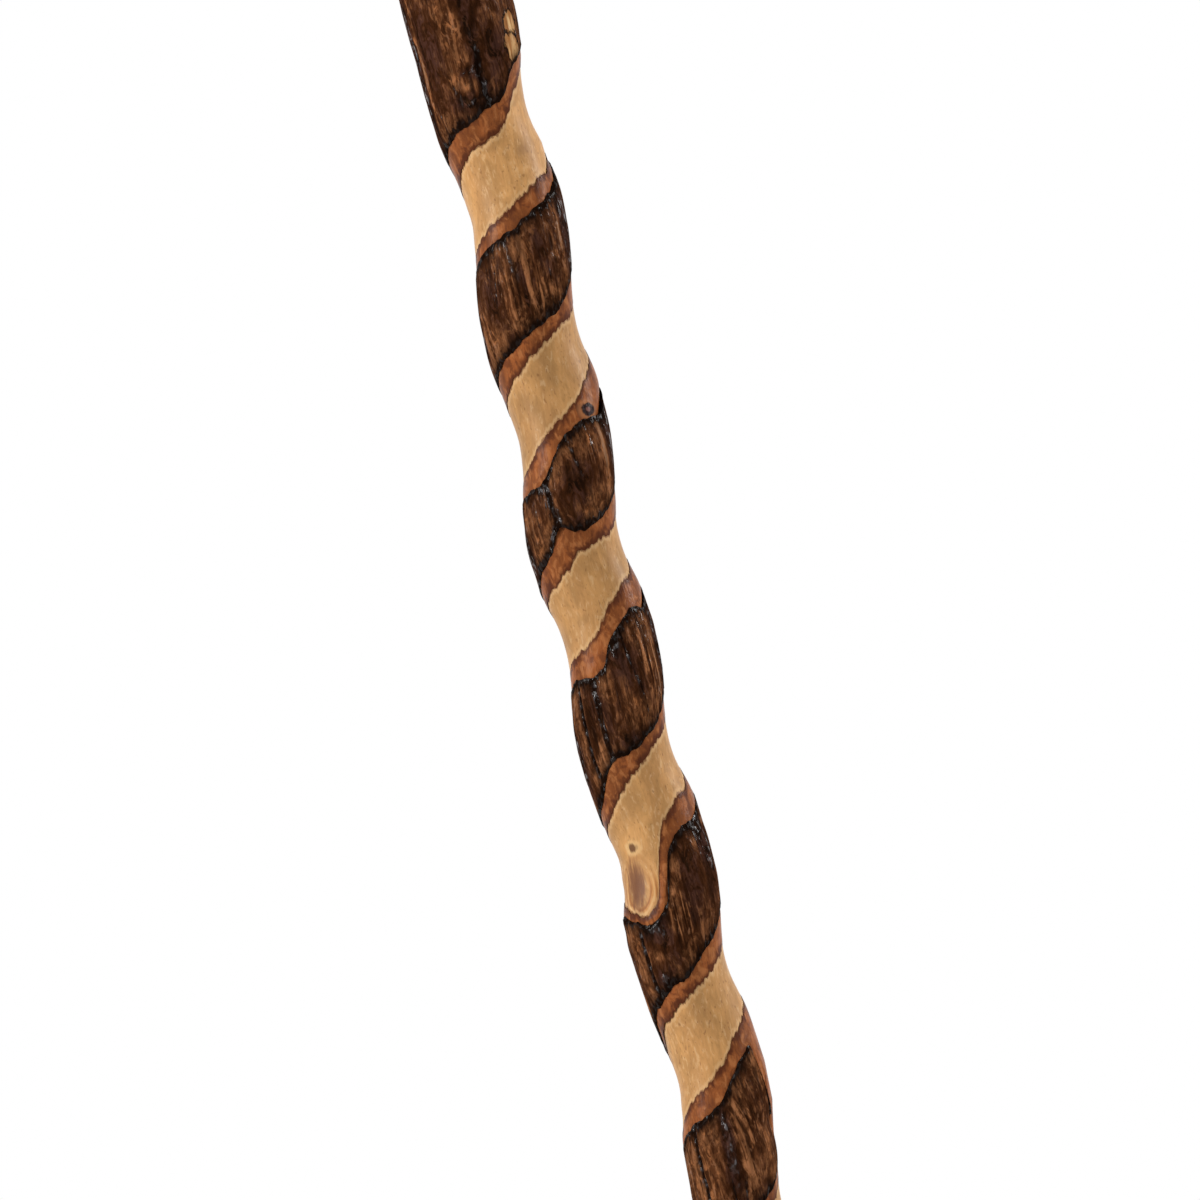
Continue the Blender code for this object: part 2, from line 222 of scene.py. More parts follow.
# Swellings of the stick: side in degrees from the front, height, half angle in degrees, half height and rise
# in millimetres. The first is around the branch knot.
SWELLINGS = (
    (-78, 0.4630, 45, 8.0, 2.1),
    (90, 0.6740, 50, 6.0, -0.4),
    (90, 0.6040, 50, 7.0, 1.0),
    (90, 0.4930, 50, 6.0, 0.9),
    (-90, 0.4850, 45, 7.5, 0.9),
    (-90, 0.4735, 40, 3.5, 0.7),
    (-90, 0.4600, 40, 2.8, -0.5),
    (90, 0.6885, 40, 3.0, 0.5),
    (-90, 0.4040, 50, 7.0, 1.5),
    (90, 0.4000, 50, 5.0, -0.6),
    (90, 0.4042, 45, 3.4, -1.2),
    (-90, 0.5480, 50, 5.0, 0.8),
    (90, 0.5480, 50, 5.0, 0.6),
    (90, 0.6650, 40, 3.0, 0.5),
    (-90, 0.6480, 40, 3.5, -0.4),
    (-90, 0.5905, 40, 5.0, -0.4),
    (-90, 0.5760, 45, 4.0, 0.5),
    (90, 0.5705, 45, 4.5, 0.45),
    (-90, 0.4345, 45, 4.0, 0.35),
    (-90, 0.4265, 45, 4.5, 0.45),
    (90, 0.4350, 50, 6.0, 0.4),
    (-90, 0.4125, 45, 3.0, 0.4),
)

# Furrows in the bark: side in degrees and height at both ends, half width and depth in millimetres
FURROWS = (
    (-20, 0.5680, -27, 0.5780, 0.8, 1.0),
    (-42, 0.5580, -20, 0.5680, 1.2, 0.9),
    (-26, 0.5775, -17, 0.5815, 0.7, 0.6),
    (-52, 0.4976, -49, 0.5236, 0.6, 0.9),
    (-26, 0.5044, -24, 0.5241, 0.7, 0.8),
    (-47, 0.4427, -46, 0.4574, 0.7, 0.9),
    (-43, 0.3883, -44, 0.4064, 0.6, 0.9),
    (6, 0.6780, 3, 0.6840, 0.7, 0.6),
    (3, 0.6850, 6, 0.6905, 0.6, 0.5),
)

# A furrow fades out this many times farther beyond its ends than at its sides
FURROW_TAPER = 3

# Relief of the bark: the radius at which its noises are read, and size, stretch and seed of each
BARK_RADIUS = 0.0135
SWELLS = (4.5 * MM, 3.0, 21)
SWELL_HEIGHT = 0.20 * MM
RIDGES = (1.7 * MM, 6.0, 23)
FINE_RIDGES = (0.9 * MM, 6.0, 24)
CRACKS = (4.2 * MM, 9.0, 43)
CRACKED_AREAS = (10 * MM, 2.0, 27)
STRAYING = (2.2 * MM, 2.0, 29)
STRAY_REACH = 0.5 * MM
TONE_CLOUDS = (6 * MM, 2.5, 31)
SEED_STEP = 17.3

# How light the wood is at some heights
WOOD_TONES = ((0.430, 1.04), (0.490, 1.0), (0.549, 0.93), (0.6025, 0.90), (0.655, 1.07))

# Patches of the bark: side in degrees, height, half width and half height in millimetres, and tone,
# from -1 for dark to 1 for ochre
TONES = (
    (-48, 0.694, 5.0, 12, -0.8),
    (-38, 0.680, 4.0, 4, -0.2),
    (-17, 0.694, 2.0, 8, 0.55),
    (-24, 0.6850, 2.0, 2.0, 1.3),
    (-13, 0.6836, 1.2, 1.4, 1.3),
    (-19, 0.6915, 1.5, 1.8, 1.2),
    (-8, 0.6888, 1.3, 1.5, 1.4),
    (10, 0.6868, 0.9, 1.3, 1.4),
    (-3, 0.6825, 0.6, 1.6, 1.3),
    (-11, 0.6990, 1.6, 3.0, 1.0),
    (23, 0.6985, 0.8, 3.0, 1.0),
    (-52, 0.6735, 2.0, 2.2, 0.9),
    (4, 0.695, 1.2, 8, -1.1),
    (2, 0.6868, 2.2, 2.0, -1.5),
    (-10, 0.6864, 2.6, 1.0, -1.5),
    (5, 0.6820, 1.5, 3.4, -1.5),
    (28, 0.692, 4.4, 10, -0.95),
    (33, 0.700, 1.2, 4, 0.5),
    (-14, 0.6785, 4.4, 1.8, -1.3),
    (-44, 0.627, 3.0, 7, -0.7),
    (-22, 0.6395, 1.9, 2.0, 1.0),
    (-5, 0.6435, 2.4, 1.8, -1.0),
    (-2, 0.628, 0.9, 9, -1.0),
    (-17, 0.628, 1.6, 8, 0.4),
    (6, 0.640, 2.0, 4.5, 0.6),
    (23, 0.6385, 2.6, 4.2, -0.8),
    (9, 0.631, 0.5, 3.5, -0.8),
    (30, 0.6335, 0.5, 3.0, -0.8),
    (28, 0.625, 3.6, 4, 0.35),
    (47, 0.636, 2.2, 8, 0.1),
    (70, 0.640, 1.2, 8, -0.7),
    (-56, 0.6165, 2.2, 4, 0.7),
    (4, 0.5850, 2.6, 1.6, 1.1),
    (-9, 0.5815, 1.6, 2.0, 0.9),
    (24, 0.5745, 2.2, 1.6, 0.8),
    (36, 0.5865, 2.0, 2.6, 1.0),
    (14, 0.577, 5.4, 6.5, -0.75),
    (30, 0.5715, 2.2, 3.0, 0.2),
    (17, 0.5675, 4.0, 2.2, 0.6),
    (4, 0.5665, 2.2, 3.0, -1.0),
    (-44, 0.5725, 3.0, 4, -0.3),
    (-52, 0.561, 2.0, 2.5, 0.9),
    (-31, 0.5655, 1.2, 2.0, 0.7),
    (12, 0.5295, 3.6, 9.5, -0.85),
    (-11, 0.5235, 1.4, 3.5, 0.7),
    (25, 0.5155, 3.4, 3.2, 0.55),
    (48, 0.531, 2.3, 8, 0.5),
    (48, 0.5375, 1.6, 1.8, 0.9),
    (38, 0.5425, 3.2, 2.2, -1.3),
    (6, 0.5085, 4.6, 2.2, -1.15),
    (-60, 0.515, 1.8, 9, 0.2),
    (-36, 0.518, 2.4, 8, -0.7),
    (-38, 0.506, 2.4, 3.6, 1.0),
    (-17, 0.514, 1.4, 8, -0.7),
    (28, 0.470, 4.4, 11, -0.85),
    (5, 0.462, 2.0, 9, 0.95),
    (13, 0.476, 1.3, 5, 0.6),
    (47, 0.479, 1.2, 2.0, 0.8),
    (-29, 0.460, 3.4, 3.6, -1.45),
    (-18, 0.459, 2.0, 5.0, -1.2),
    (-27, 0.4520, 1.6, 1.4, 0.8),
    (-30, 0.4455, 2.6, 4.2, -1.4),
    (-60, 0.452, 1.8, 8, 0.8),
    (36, 0.4195, 2.2, 2.5, -0.9),
    (22, 0.412, 2.6, 5, 0.1),
    (44, 0.402, 3.0, 9, 0.0),
    (16, 0.397, 2.4, 7, 0.8),
    (-3, 0.400, 1.9, 15, -1.6),
    (-17, 0.400, 1.6, 8, 0.35),
    (-29, 0.398, 1.6, 9, 0.45),
    (-33, 0.409, 3.4, 2.2, -0.9),
    (-60, 0.397, 2.6, 8, 0.35),
    # From here on the patches are painted light along the stick's sides as the front sees them: the thin
    # lines with tones of 2.2 and 3.0 are painted highlights, and the patches at -1.8 are painted dark
    # reflections.
    (-64, 0.690, 0.7, 20, 2.2),
    (-76, 0.690, 1.9, 22, -1.8),
    (55, 0.640, 0.7, 10, 2.2),
    (71, 0.640, 2.6, 13, -1.8),
    (-80, 0.622, 1.2, 10, -1.8),
    (55, 0.586, 0.8, 10, 3.0),
    (72, 0.592, 2.6, 14, -1.8),
    (-80, 0.563, 1.8, 11, -1.8),
    (62, 0.529, 0.7, 12, 2.2),
    (79, 0.532, 2.5, 14, -1.8),
    (-80, 0.506, 1.5, 9, -1.8),
    (67, 0.479, 3.0, 11, -1.8),
)

# Where the bark shows long lines rather than mottles: side in degrees, height, half width and half height
# in millimetres
LINED = (
    (8, 0.462, 5.0, 14),
    (45, 0.528, 4.5, 14),
    (26, 0.407, 6.0, 9),
    (14, 0.396, 3.0, 9),
    (-35, 0.515, 5.0, 14),
    (0, 0.626, 9.0, 10),
)

# Marks in the layers: turn, height, half width and half height, and the height of the split in the scar
KNOT = (3.884, 0.4704, 0.0058, 0.0090)
KNOT_HEART = (3.876, 0.4712, 0.0035, 0.0076)
WOOD_PIN_KNOT = (3.894, 0.4811, 0.0014, 0.0012)
WOOD_SMUDGE = (7.097, 0.6639, 0.0022, 0.0020)
INNER_PIN_KNOT = (6.140, 0.5944, 0.0021, 0.0019)
SCAR_LOBES = ((7.155, 0.6963, 0.0027, 0.0036), (7.143, 0.6907, 0.0029, 0.0043))
SCAR_SPLIT = 0.6940

# How far from the stick's middle line the middle of a mark lies, and how deep a mark reaches
MARK_RADIUS = 0.0118
MARK_THICKNESS = 0.006

# Heights between which the lines of the bark lean over, and how far
LEANING = (0.398, 0.424)
LEAN_REACH = 0.006

# Growth rings, as radians from the knot's middle to its rim, and in a metre of the handle
KNOT_RINGS = 22.0
HANDLE_RINGS = 2600.0

# The darkest colour of the bark, in its furrows and along its cut edge
BLACK = (0.0075, 0.0032, 0.0018)

# Map of a wound piece's finish: lanes for its turns, side by side, and bands for the rings that close it
MAP_NAME = "OFBake"
MAP_LANES = 6
LANE_MARGIN = 0.01
LANES_TOP = 0.965
BANDS_BOTTOM = 0.97
BAND_HEIGHT = 0.015
BAND_SHIFT = 0.012
BAND_FILL = 0.01

# Width of a lane, as the length of a section: its shown side, the wall at each edge and its underside
MAP_WIDTH = 28 * MM
MAP_WALL = 0.4 * MM
MAP_UNDER = 3 * MM

# Distance within which points are joined, the angle in degrees from which an edge stays sharp, and the steps
# that a corner is rounded with
WINDING_MERGE, WINDING_ANGLE = 2e-6, 60
TURNING_MERGE, TURNING_ANGLE = 1e-6, 40
HANDLE_ANGLE = 45
CORNER_STEPS = 4

# Tenons at the stick's two ends, as outlines of radius and height
FOOT_TENON_RADIUS = 0.0092
FOOT_TENON_BOTTOM = 0.0121
TOP_TENON_RADIUS = 0.0090
TOP_TENON_TOP = 0.9140
PILOT_RADIUS = 0.0032
PILOT_BOTTOM = 0.8567
PILOT_POINT = 6 * MM
TENON_CHAMFER = 0.5 * MM
FOOT_TENON = (
    (FOOT_TENON_RADIUS, STICK_BOTTOM),
    (FOOT_TENON_RADIUS, FOOT_TENON_BOTTOM + TENON_CHAMFER),
    (FOOT_TENON_RADIUS - TENON_CHAMFER, FOOT_TENON_BOTTOM),
    (0.0, FOOT_TENON_BOTTOM),
)
TOP_TENON = (
    (TOP_TENON_RADIUS, STICK_TOP),
    (TOP_TENON_RADIUS, TOP_TENON_TOP - TENON_CHAMFER),
    (TOP_TENON_RADIUS - TENON_CHAMFER, TOP_TENON_TOP),
    (PILOT_RADIUS, TOP_TENON_TOP),
    (PILOT_RADIUS, PILOT_BOTTOM + PILOT_POINT),
    (0.0, PILOT_BOTTOM),
)

# Collar
COLLAR_BOTTOM = 0.8803
COLLAR_TOP = 0.8883
COLLAR_RADIUS = 0.0153
COLLAR_BORE = 0.0093
COLLAR_BEAD = 0.0006
COLLAR_ROUNDING = 0.0004

# Handle: (x, middle's height, half height, half width) of the grip, and radius of the neck at heights over
# its foot. A heart is a point on the middle line of the growth rings.
GRIP_SECTIONS = (
    (-0.04598, 0.9150, 0.0040, 0.0050),
    (-0.0440, 0.9160, 0.0078, 0.0088),
    (-0.0390, 0.9180, 0.0106, 0.0114),
    (-0.0280, 0.9216, 0.0126, 0.0130),
    (-0.0120, 0.9252, 0.0138, 0.0142),
    (0.0040, 0.9262, 0.0138, 0.0144),
    (0.0220, 0.9260, 0.0132, 0.0138),
    (0.0420, 0.9244, 0.0122, 0.0130),
    (0.0600, 0.9216, 0.0116, 0.0126),
    (0.0720, 0.9192, 0.0108, 0.0120),
    (0.0780, 0.9178, 0.0084, 0.0098),
    (0.08048, 0.9170, 0.0044, 0.0056),
)
GRIP_SQUARENESS = 2.3
GRIP_SIDES = 64
GRIP_STATIONS = 110
GRIP_HEART = (0, 0.004, 0.935)
NECK_BOTTOM = 0.8886
NECK_OUTLINE = (
    (0.0, 0.0),
    (0.0148, 0.0),
    (0.0141, 0.0050),
    (0.0138, 0.0110),
    (0.0139, 0.0180),
    (0.0136, 0.0255),
    (0.0126, 0.0310),
)
HANDLE_BORE = 0.0093
HANDLE_BORE_TOP = 0.9143
SCREW_HOLE = 0.0032
SEAT_HEIGHT = 0.9250
PLUG_BORE = 0.0063
PLUG_RADIUS = 0.0060
PLUG_BOTTOM = 0.9311
PLUG_TOP = 0.9400
PLUG_ROUNDING = 0.0003
PLUG_HEART = (0.004, 0.003, 0.93)
PLUG_OUTLINE = (
    (0.0, PLUG_BOTTOM),
    (PLUG_RADIUS, PLUG_BOTTOM),
    (PLUG_RADIUS, PLUG_TOP - 0.0006),
    (PLUG_RADIUS * 0.6, PLUG_TOP - 0.0002),
    (0.0, PLUG_TOP),
)
BORE_OVERRUN = 0.01
HANDLE_BORES = (
    (0.0, NECK_BOTTOM - BORE_OVERRUN),
    (HANDLE_BORE, NECK_BOTTOM - BORE_OVERRUN),
    (HANDLE_BORE, HANDLE_BORE_TOP),
    (SCREW_HOLE, HANDLE_BORE_TOP),
    (SCREW_HOLE, SEAT_HEIGHT),
    (PLUG_BORE, SEAT_HEIGHT),
    (PLUG_BORE, PLUG_TOP + BORE_OVERRUN),
    (0.0, PLUG_TOP + BORE_OVERRUN),
)

# Rubber tip: radius and height of its outline, from its floor out, down and in under its tread, and the outer
# and inner radius of each groove in the tread
TIP_OUTLINE = (
    (0.0, 0.0100),
    (0.0095, 0.0100),
    (0.0095, 0.0472),
    (0.0103, 0.0480),
    (0.0120, 0.0480),
    (0.0126, 0.0472),
    (0.0126, 0.0440),
    (0.0121, 0.0430),
    (0.0121, 0.0400),
    (0.0127, 0.0390),
    (0.0129, 0.0300),
    (0.0138, 0.0200),
    (0.0158, 0.0125),
    (0.0182, 0.0090),
    (0.01899, 0.0070),
    (0.01899, 0.0012),
    (0.0180, 0.0),
)
TIP_TREADS = ((0.0145, 0.0125), (0.0085, 0.0065))
TREAD_DEPTH = 0.0020
TIP_ROUNDING = 0.0014

# Camera: the point it faces, how wide a view it has there, how far it sees and how far it leans in degrees
VIEW_TARGET = (0.0005, 0.0, 0.5456)
WIDTH_SEEN = 0.312
LENS_MM = 300.0
SENSOR_MM = 36.0
SIGHT = 50
LEAN = 13.407

# Softboxes: the point they face, and name, place, width, height and watts of each
LIGHTS_TARGET = (0, 0, 0.5)
LIGHTS = (
    ("left_softbox", (-1.40, -0.62, 1.15), 0.28, 0.6, 20),
    ("right_softbox", (1.50, 0.12, 0.95), 0.28, 0.6, 18),
    ("top_softbox", (-0.25, -1.6, 2.1), 0.6, 0.4, 16),
    ("back_softbox", (0.3, 1.9, 1.7), 1.2, 0.8, 10),
)
SKY_STRENGTH = 0.22

# Floor: its radius, and the distances between which it fades into the background
FLOOR_RADIUS = 2.6
FLOOR_FADE = (0.25, 1.1)


# Shapes shared by the stick's layers


def eased(share):
    """0 to 1 with level ends."""
    share = np.clip(share, 0.0, 1.0)
    return share * share * (3 - 2 * share)


def curve_between(stations, where):
    """Rows of values at some places, on a smooth curve that never swings beyond its stations."""
    table = np.array(stations)
    spans = np.diff(table[:, 0])[:, None]
    rates = np.diff(table[:, 1:], axis=0) / spans
    product, total = rates[:-1] * rates[1:], rates[:-1] + rates[1:]
    slopes = np.zeros_like(table[:, 1:])
    slopes[1:-1] = np.where(product > 0, 2 * product / np.where(product > 0, total, 1), 0)
    row = np.clip(np.searchsorted(table[:, 0], where) - 1, 0, len(table) - 2)
    share = np.clip((where - table[row, 0]) / spans[row, 0], 0, 1)[..., None]
    rest = 1 - share
    start, end = table[row, 1:], table[row + 1, 1:]
    level = start * rest**2 * (1 + 2 * share) + end * share**2 * (1 + 2 * rest)
    return level + spans[row] * share * rest * (slopes[row] * rest - slopes[row + 1] * share)


def eased_between(stations, where):
    """Rows of values at some places, eased from station to station."""
    table = np.array(stations)
    row = np.clip(np.searchsorted(table[:, 0], where) - 1, 0, len(table) - 2)
    share = eased((where - table[row, 0]) / (table[row + 1, 0] - table[row, 0]))[..., None]
    return table[row, 1:] * (1 - share) + table[row + 1, 1:] * share


def crossing(turn):
    """The height of the groove's middle after some turns, on a smooth curve through the crossings."""
    heights = np.array(CROSSINGS)
    padded = np.concatenate(([2 * heights[0] - heights[1]], heights, [2 * heights[-1] - heights[-2]]))
    first = np.clip(np.floor(turn).astype(int), 0, len(heights) - 2)
    share = turn - first
    before, low, high, after = (padded[first + i] for i in range(4))
    curve = 0.5 * (
        2 * low
        + (high - before) * share
        + (2 * before - 5 * low + 4 * high - after) * share**2
        + (3 * low - before - 3 * high + after) * share**3
    )
    straight = np.where(share < 0, low + (high - low) * share, high + (high - low) * (share - 1))
    return np.where((share < 0) | (share > 1), straight, curve)


def fade(turn):
    """1 where the groove has its full depth, and 0 where there is none."""
    start, full = GROOVE_START
    fading, end = GROOVE_END
    return eased((turn - start) / (full - start)) * eased((end - turn) / (end - fading))


def bell(reach):
    """1 in the groove's middle, and 0 from its crests on."""
    share = np.clip(np.abs(reach) / GROOVE_HALF_WIDTH, 0, 1)
    return (1 + np.cos(np.pi * share)) / 2


def natural_reach(share_of_depth, interface):
    """How far from its middle the groove cuts down to an interface."""
    depth = GROOVE_DEPTH * np.maximum(share_of_depth, 1e-6)
    level = np.clip(interface / depth, 0, 1) ** (1 / GROOVE_FULLNESS)
    return GROOVE_HALF_WIDTH / np.pi * np.arccos(2 * level - 1)


def layer_ends(turn):
    """Distances from the groove's middle to the ends of the layers: outer and inner above, inner and outer
    below."""
    shown = curve_between(LAYER_ENDS_MM, turn) * MM
    depth = fade(turn)
    for column, interface in enumerate((BARK_INTERFACE, WOOD_INTERFACE, WOOD_INTERFACE, BARK_INTERFACE)):
        shown[..., column] *= natural_reach(depth, interface) / natural_reach(1.0, interface)
    return shown


def widened(reach, end, natural):
    """Moves places nearer to the groove's middle where its cut is wider than usual, so that it is deeper."""
    ratio = (natural / np.maximum(end, natural)) ** 0.4
    share = np.clip(reach / GROOVE_HALF_WIDTH, 0, 1)
    return reach * (1 - (1 - ratio) * (1 - share**4))


def cut_depth(turn, reach, end):
    """Depth of the carved surface below the crest."""
    natural = natural_reach(1.0, WOOD_INTERFACE)
    return GROOVE_DEPTH * fade(turn) * bell(widened(reach, end, natural)) ** GROOVE_FULLNESS


def slope_depth(turn, reach, end):
    """Depth of the outer bark's slope into the groove."""
    natural = natural_reach(1.0, BARK_INTERFACE)
    return BARK_SLOPE_DEPTH * fade(turn) * bell(widened(reach, end, natural)) ** BARK_SLOPE_FULLNESS


class Strip:
    """Places on the stick between the groove and its next turn, as rows of heights for a row of turns."""

    def __init__(self, turn, height):
        self.turn = turn[:, None]
        self.height = np.clip(height, STICK_BOTTOM, STICK_TOP)
        below, above = layer_ends(self.turn), layer_ends(self.turn + 1)
        self.up = np.abs(self.height - crossing(self.turn))
        self.down = np.abs(crossing(self.turn + 1) - self.height)
        near = self.up - below[..., OUTER_ABOVE] < self.down - above[..., OUTER_BELOW]
        self.reach = np.where(near, self.up, self.down)
        self.bark_end = np.where(near, below[..., OUTER_ABOVE], above[..., OUTER_BELOW])
        self.wood_end = np.where(near, below[..., INNER_ABOVE], above[..., INNER_BELOW])
        self.near_turn = np.where(near, self.turn, self.turn + 1)
        self.ends = below, above

    def cut(self, reach=None):
        return cut_depth(self.near_turn, self.reach if reach is None else reach, self.wood_end)

    def settled(self, end, interface):
        """The cut as far as a layer's end, and from there the layer's own level."""
        at_end = self.cut(end)
        at_end = np.where(GROOVE_DEPTH * fade(self.near_turn) > interface, at_end, interface)
        beyond = at_end + (interface - at_end) * eased((self.reach - end) / BLEND_IN)
        return np.where(self.reach < end, self.cut(), beyond)

    def wood(self):
        return self.settled(self.wood_end, WOOD_INTERFACE)

    def inner_top(self):
        proud = INNER_PROUD * (1 - eased((self.reach - self.bark_end) / BLEND_IN))
        return self.settled(self.bark_end, BARK_INTERFACE) - proud

    def slope(self):
        below, above = self.ends
        under = slope_depth(self.turn, self.up, below[..., OUTER_ABOVE])
        return under + slope_depth(self.turn + 1, self.down, above[..., OUTER_BELOW])

    def points(self, depth):
        """World positions of the places at a depth below the crest."""
        crest = np.interp(self.height, *np.array(CREST_RADII).T) + swelling(self.turn, self.height)
        return on_stick(self.turn + 0 * self.height, crest - depth, self.height)


def swelling(turn, height):
    """How far the stick swells at some places."""
    rise = 0
    for side, middle, half_angle, half_height, most in SWELLINGS:
        around = ((turn * 360 - side + 180) % 360 - 180) / half_angle
        along = (height - middle) / (half_height * MM)
        rise = rise + most * MM * np.exp(-(around**2 + along**2))
    return rise


def on_stick(turn, radius, height):
    """Points at a turn's side of the stick, around its swaying middle line."""
    angle = math.tau * (turn - 0.25)
    sway = eased_between(SWAY, height)
    x = radius * np.cos(angle) + sway[..., 0]
    y = radius * np.sin(angle) + sway[..., 1]
    return np.stack([x, y, height + 0 * x], axis=-1)


def noise_at(points, size, stretch, seed):
    """Smooth noise, about -1 to 1, with features of a size that are stretched along the stick."""
    scaled = points.reshape(-1, 3) / np.array((size, size, size * stretch)) + SEED_STEP * seed
    values = [noise.noise(Vector(point)) for point in scaled]
    return np.array(values).reshape(points.shape[:-1])


def cut_end(turn, column):
    """One end of a layer, from the groove's middle, with the torn line that a knife leaves across fibres."""
    end = layer_ends(turn)[:, column]
    place = on_stick(turn, np.full(turn.shape, EDGE_RADIUS), crossing(turn))
    wave = noise_at(place, *EDGE_WAVES, seed=column)
    teeth = np.tanh(4 * noise_at(place, *EDGE_TEETH, seed=column + 5))
    tearing = WOOD_TEARING if column in (INNER_ABOVE, INNER_BELOW) else BARK_TEARING
    rough = bpy.context.scene.cane_sizes.raggedness * (wave + tearing * teeth)
    return np.maximum(end + rough * np.minimum(1, end / EDGE_FADE), 0)


def wound_piece(name, rings, walls, across, ends, finish, node, values):
    """A closed piece that winds up the stick. Its rings are sections from edge to edge and back, walls says
    where the two edges are open, across places the rows on the finish's map, ends are the rings that close
    it, and values are what its finish reads."""
    sections, rows = rings.shape[:2]
    points = [rings.reshape(-1, 3)]
    index = np.arange(sections * rows).reshape(sections, rows)
    turn = section_turns()
    along = (turn - turn[0]) / (turn[-1] - turn[0]) * MAP_LANES
    lane = np.minimum(np.floor(along[:-1]), MAP_LANES - 1)
    low, high = (along[:-1] - lane) * LANES_TOP, (along[1:] - lane) * LANES_TOP
    columns = (lane + LANE_MARGIN + (1 - 2 * LANE_MARGIN) * np.reshape(across, (-1, 1))) / MAP_LANES
    faces, places = [], []
    for row, (left, right) in enumerate(zip(columns, columns[1:])):
        following = (row + 1) % rows
        keep = walls[row][:-1] | walls[row][1:] if row in walls else np.ones(sections - 1, bool)
        quad = (index[:-1, row], index[1:, row], index[1:, following], index[:-1, following])
        faces.append(np.stack(quad, axis=1)[keep])
        places.append(np.stack([left, low, left, high, right, high, right, low], axis=1)[keep])
    start = sections * rows
    share = whole_round()
    for i, group in enumerate(ends):
        for j, ring in enumerate(group):
            points.append(ring)
            if j:
                corner = start + np.arange(COLUMNS)
                quad = (corner - COLUMNS - 1, corner - COLUMNS, corner + 1, corner)
                base = BANDS_BOTTOM + BAND_HEIGHT * (i + j / len(group)) - BAND_SHIFT / len(group)
                low, high = (np.full(COLUMNS, base + step) for step in (0, BAND_FILL / len(group)))
                faces.append(np.stack(quad, axis=1))
                place = [share[:-1], low, share[1:], low, share[1:], high, share[:-1], high]
                places.append(np.stack(place, axis=1))
            start += COLUMNS + 1
    mesh = bpy.data.meshes.new(name)
    mesh.from_pydata(np.concatenate(points).tolist(), [], np.concatenate(faces).tolist())
    layer = mesh.uv_layers.new(name=MAP_NAME)
    layer.data.foreach_set("uv", np.concatenate(places).astype(np.float32).ravel())
    for attribute, shown in values.items():
        made = mesh.attributes.new(attribute, "FLOAT", "POINT")
        every = np.zeros(len(mesh.vertices), np.float32)
        every[: shown.size] = shown.ravel()
        made.data.foreach_set("value", every)
    shape = bmesh.new()
    shape.from_mesh(mesh)
    closed_up(shape, mesh, WINDING_MERGE)
    smooth_shaded(mesh, WINDING_ANGLE)
    dressed(name, mesh, finish, node)


def closed_up(shape, mesh, merging):
    """Writes a shape to its mesh, with its doubled points joined and its faces turned outwards."""
    bmesh.ops.remove_doubles(shape, verts=shape.verts, dist=merging)
    bmesh.ops.recalc_face_normals(shape, faces=shape.faces)
    shape.to_mesh(mesh)
    shape.free()


def smooth_shaded(mesh, degrees):
    """Shades a mesh smoothly, but for its sharper edges."""
    mesh.shade_smooth()
    mesh.set_sharp_from_angle(angle=math.radians(degrees))


def placed(name, data):
    made = bpy.data.objects.new(name, data)
    bpy.context.collection.objects.link(made)
    return made


def dressed(name, mesh, finish, node):
    """Shows a mesh in place of a node of the frame."""
    piece = placed(name, mesh)
    mesh.materials.clear()
    mesh.materials.append(finish)
    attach(piece, body_of(frame["nodes"][node])[0])
    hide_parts(node)


def section_turns():
    """The turns at which a wound piece has its sections."""
    return np.arange(LOWEST_TURN * COLUMNS, HIGHEST_TURN * COLUMNS + 1) / COLUMNS


def whole_round():
    """The turns once around the stick, from its front to its front."""
    return np.arange(COLUMNS + 1) / COLUMNS


def end_strip(height):
    """The whole round of the stick at one of its ends."""
    return Strip(whole_round(), np.full((COLUMNS + 1, 1), height))


def placed_rows(low, high, edge_steps, middle):
    """Heights from one edge to the other, with fixed steps at both edges and even ones between them."""
    steps = np.array(edge_steps)[None, :]
    width = (high - low)[:, None]
    first = low[:, None] + np.minimum(steps, width / 2)
    last = high[:, None] - np.minimum(steps[:, ::-1], width / 2)
    share = (np.arange(middle) + 1) / (middle + 1)
    inside = first[:, -1:] + (last[:, :1] - first[:, -1:]) * share
    return np.concatenate([first, inside, last], axis=1)


def row_places(edge_steps, middle):
    """Where the rows of a bark layer's section go on the finish's map, from 0 to 1."""
    steps = list(edge_steps)
    between = MAP_WIDTH - 2 * steps[-1]
    inside = [steps[-1] + between * (i + 1) / (middle + 1) for i in range(middle)]
    shown = steps + inside + [MAP_WIDTH - step for step in reversed(steps)]
    under = [MAP_WIDTH + MAP_WALL + MAP_UNDER * i / (HIDDEN_ROWS - 1) for i in range(HIDDEN_ROWS)]
    whole = shown + under + [under[-1] + MAP_WALL]
    return np.array(whole) / whole[-1]


# Finishes


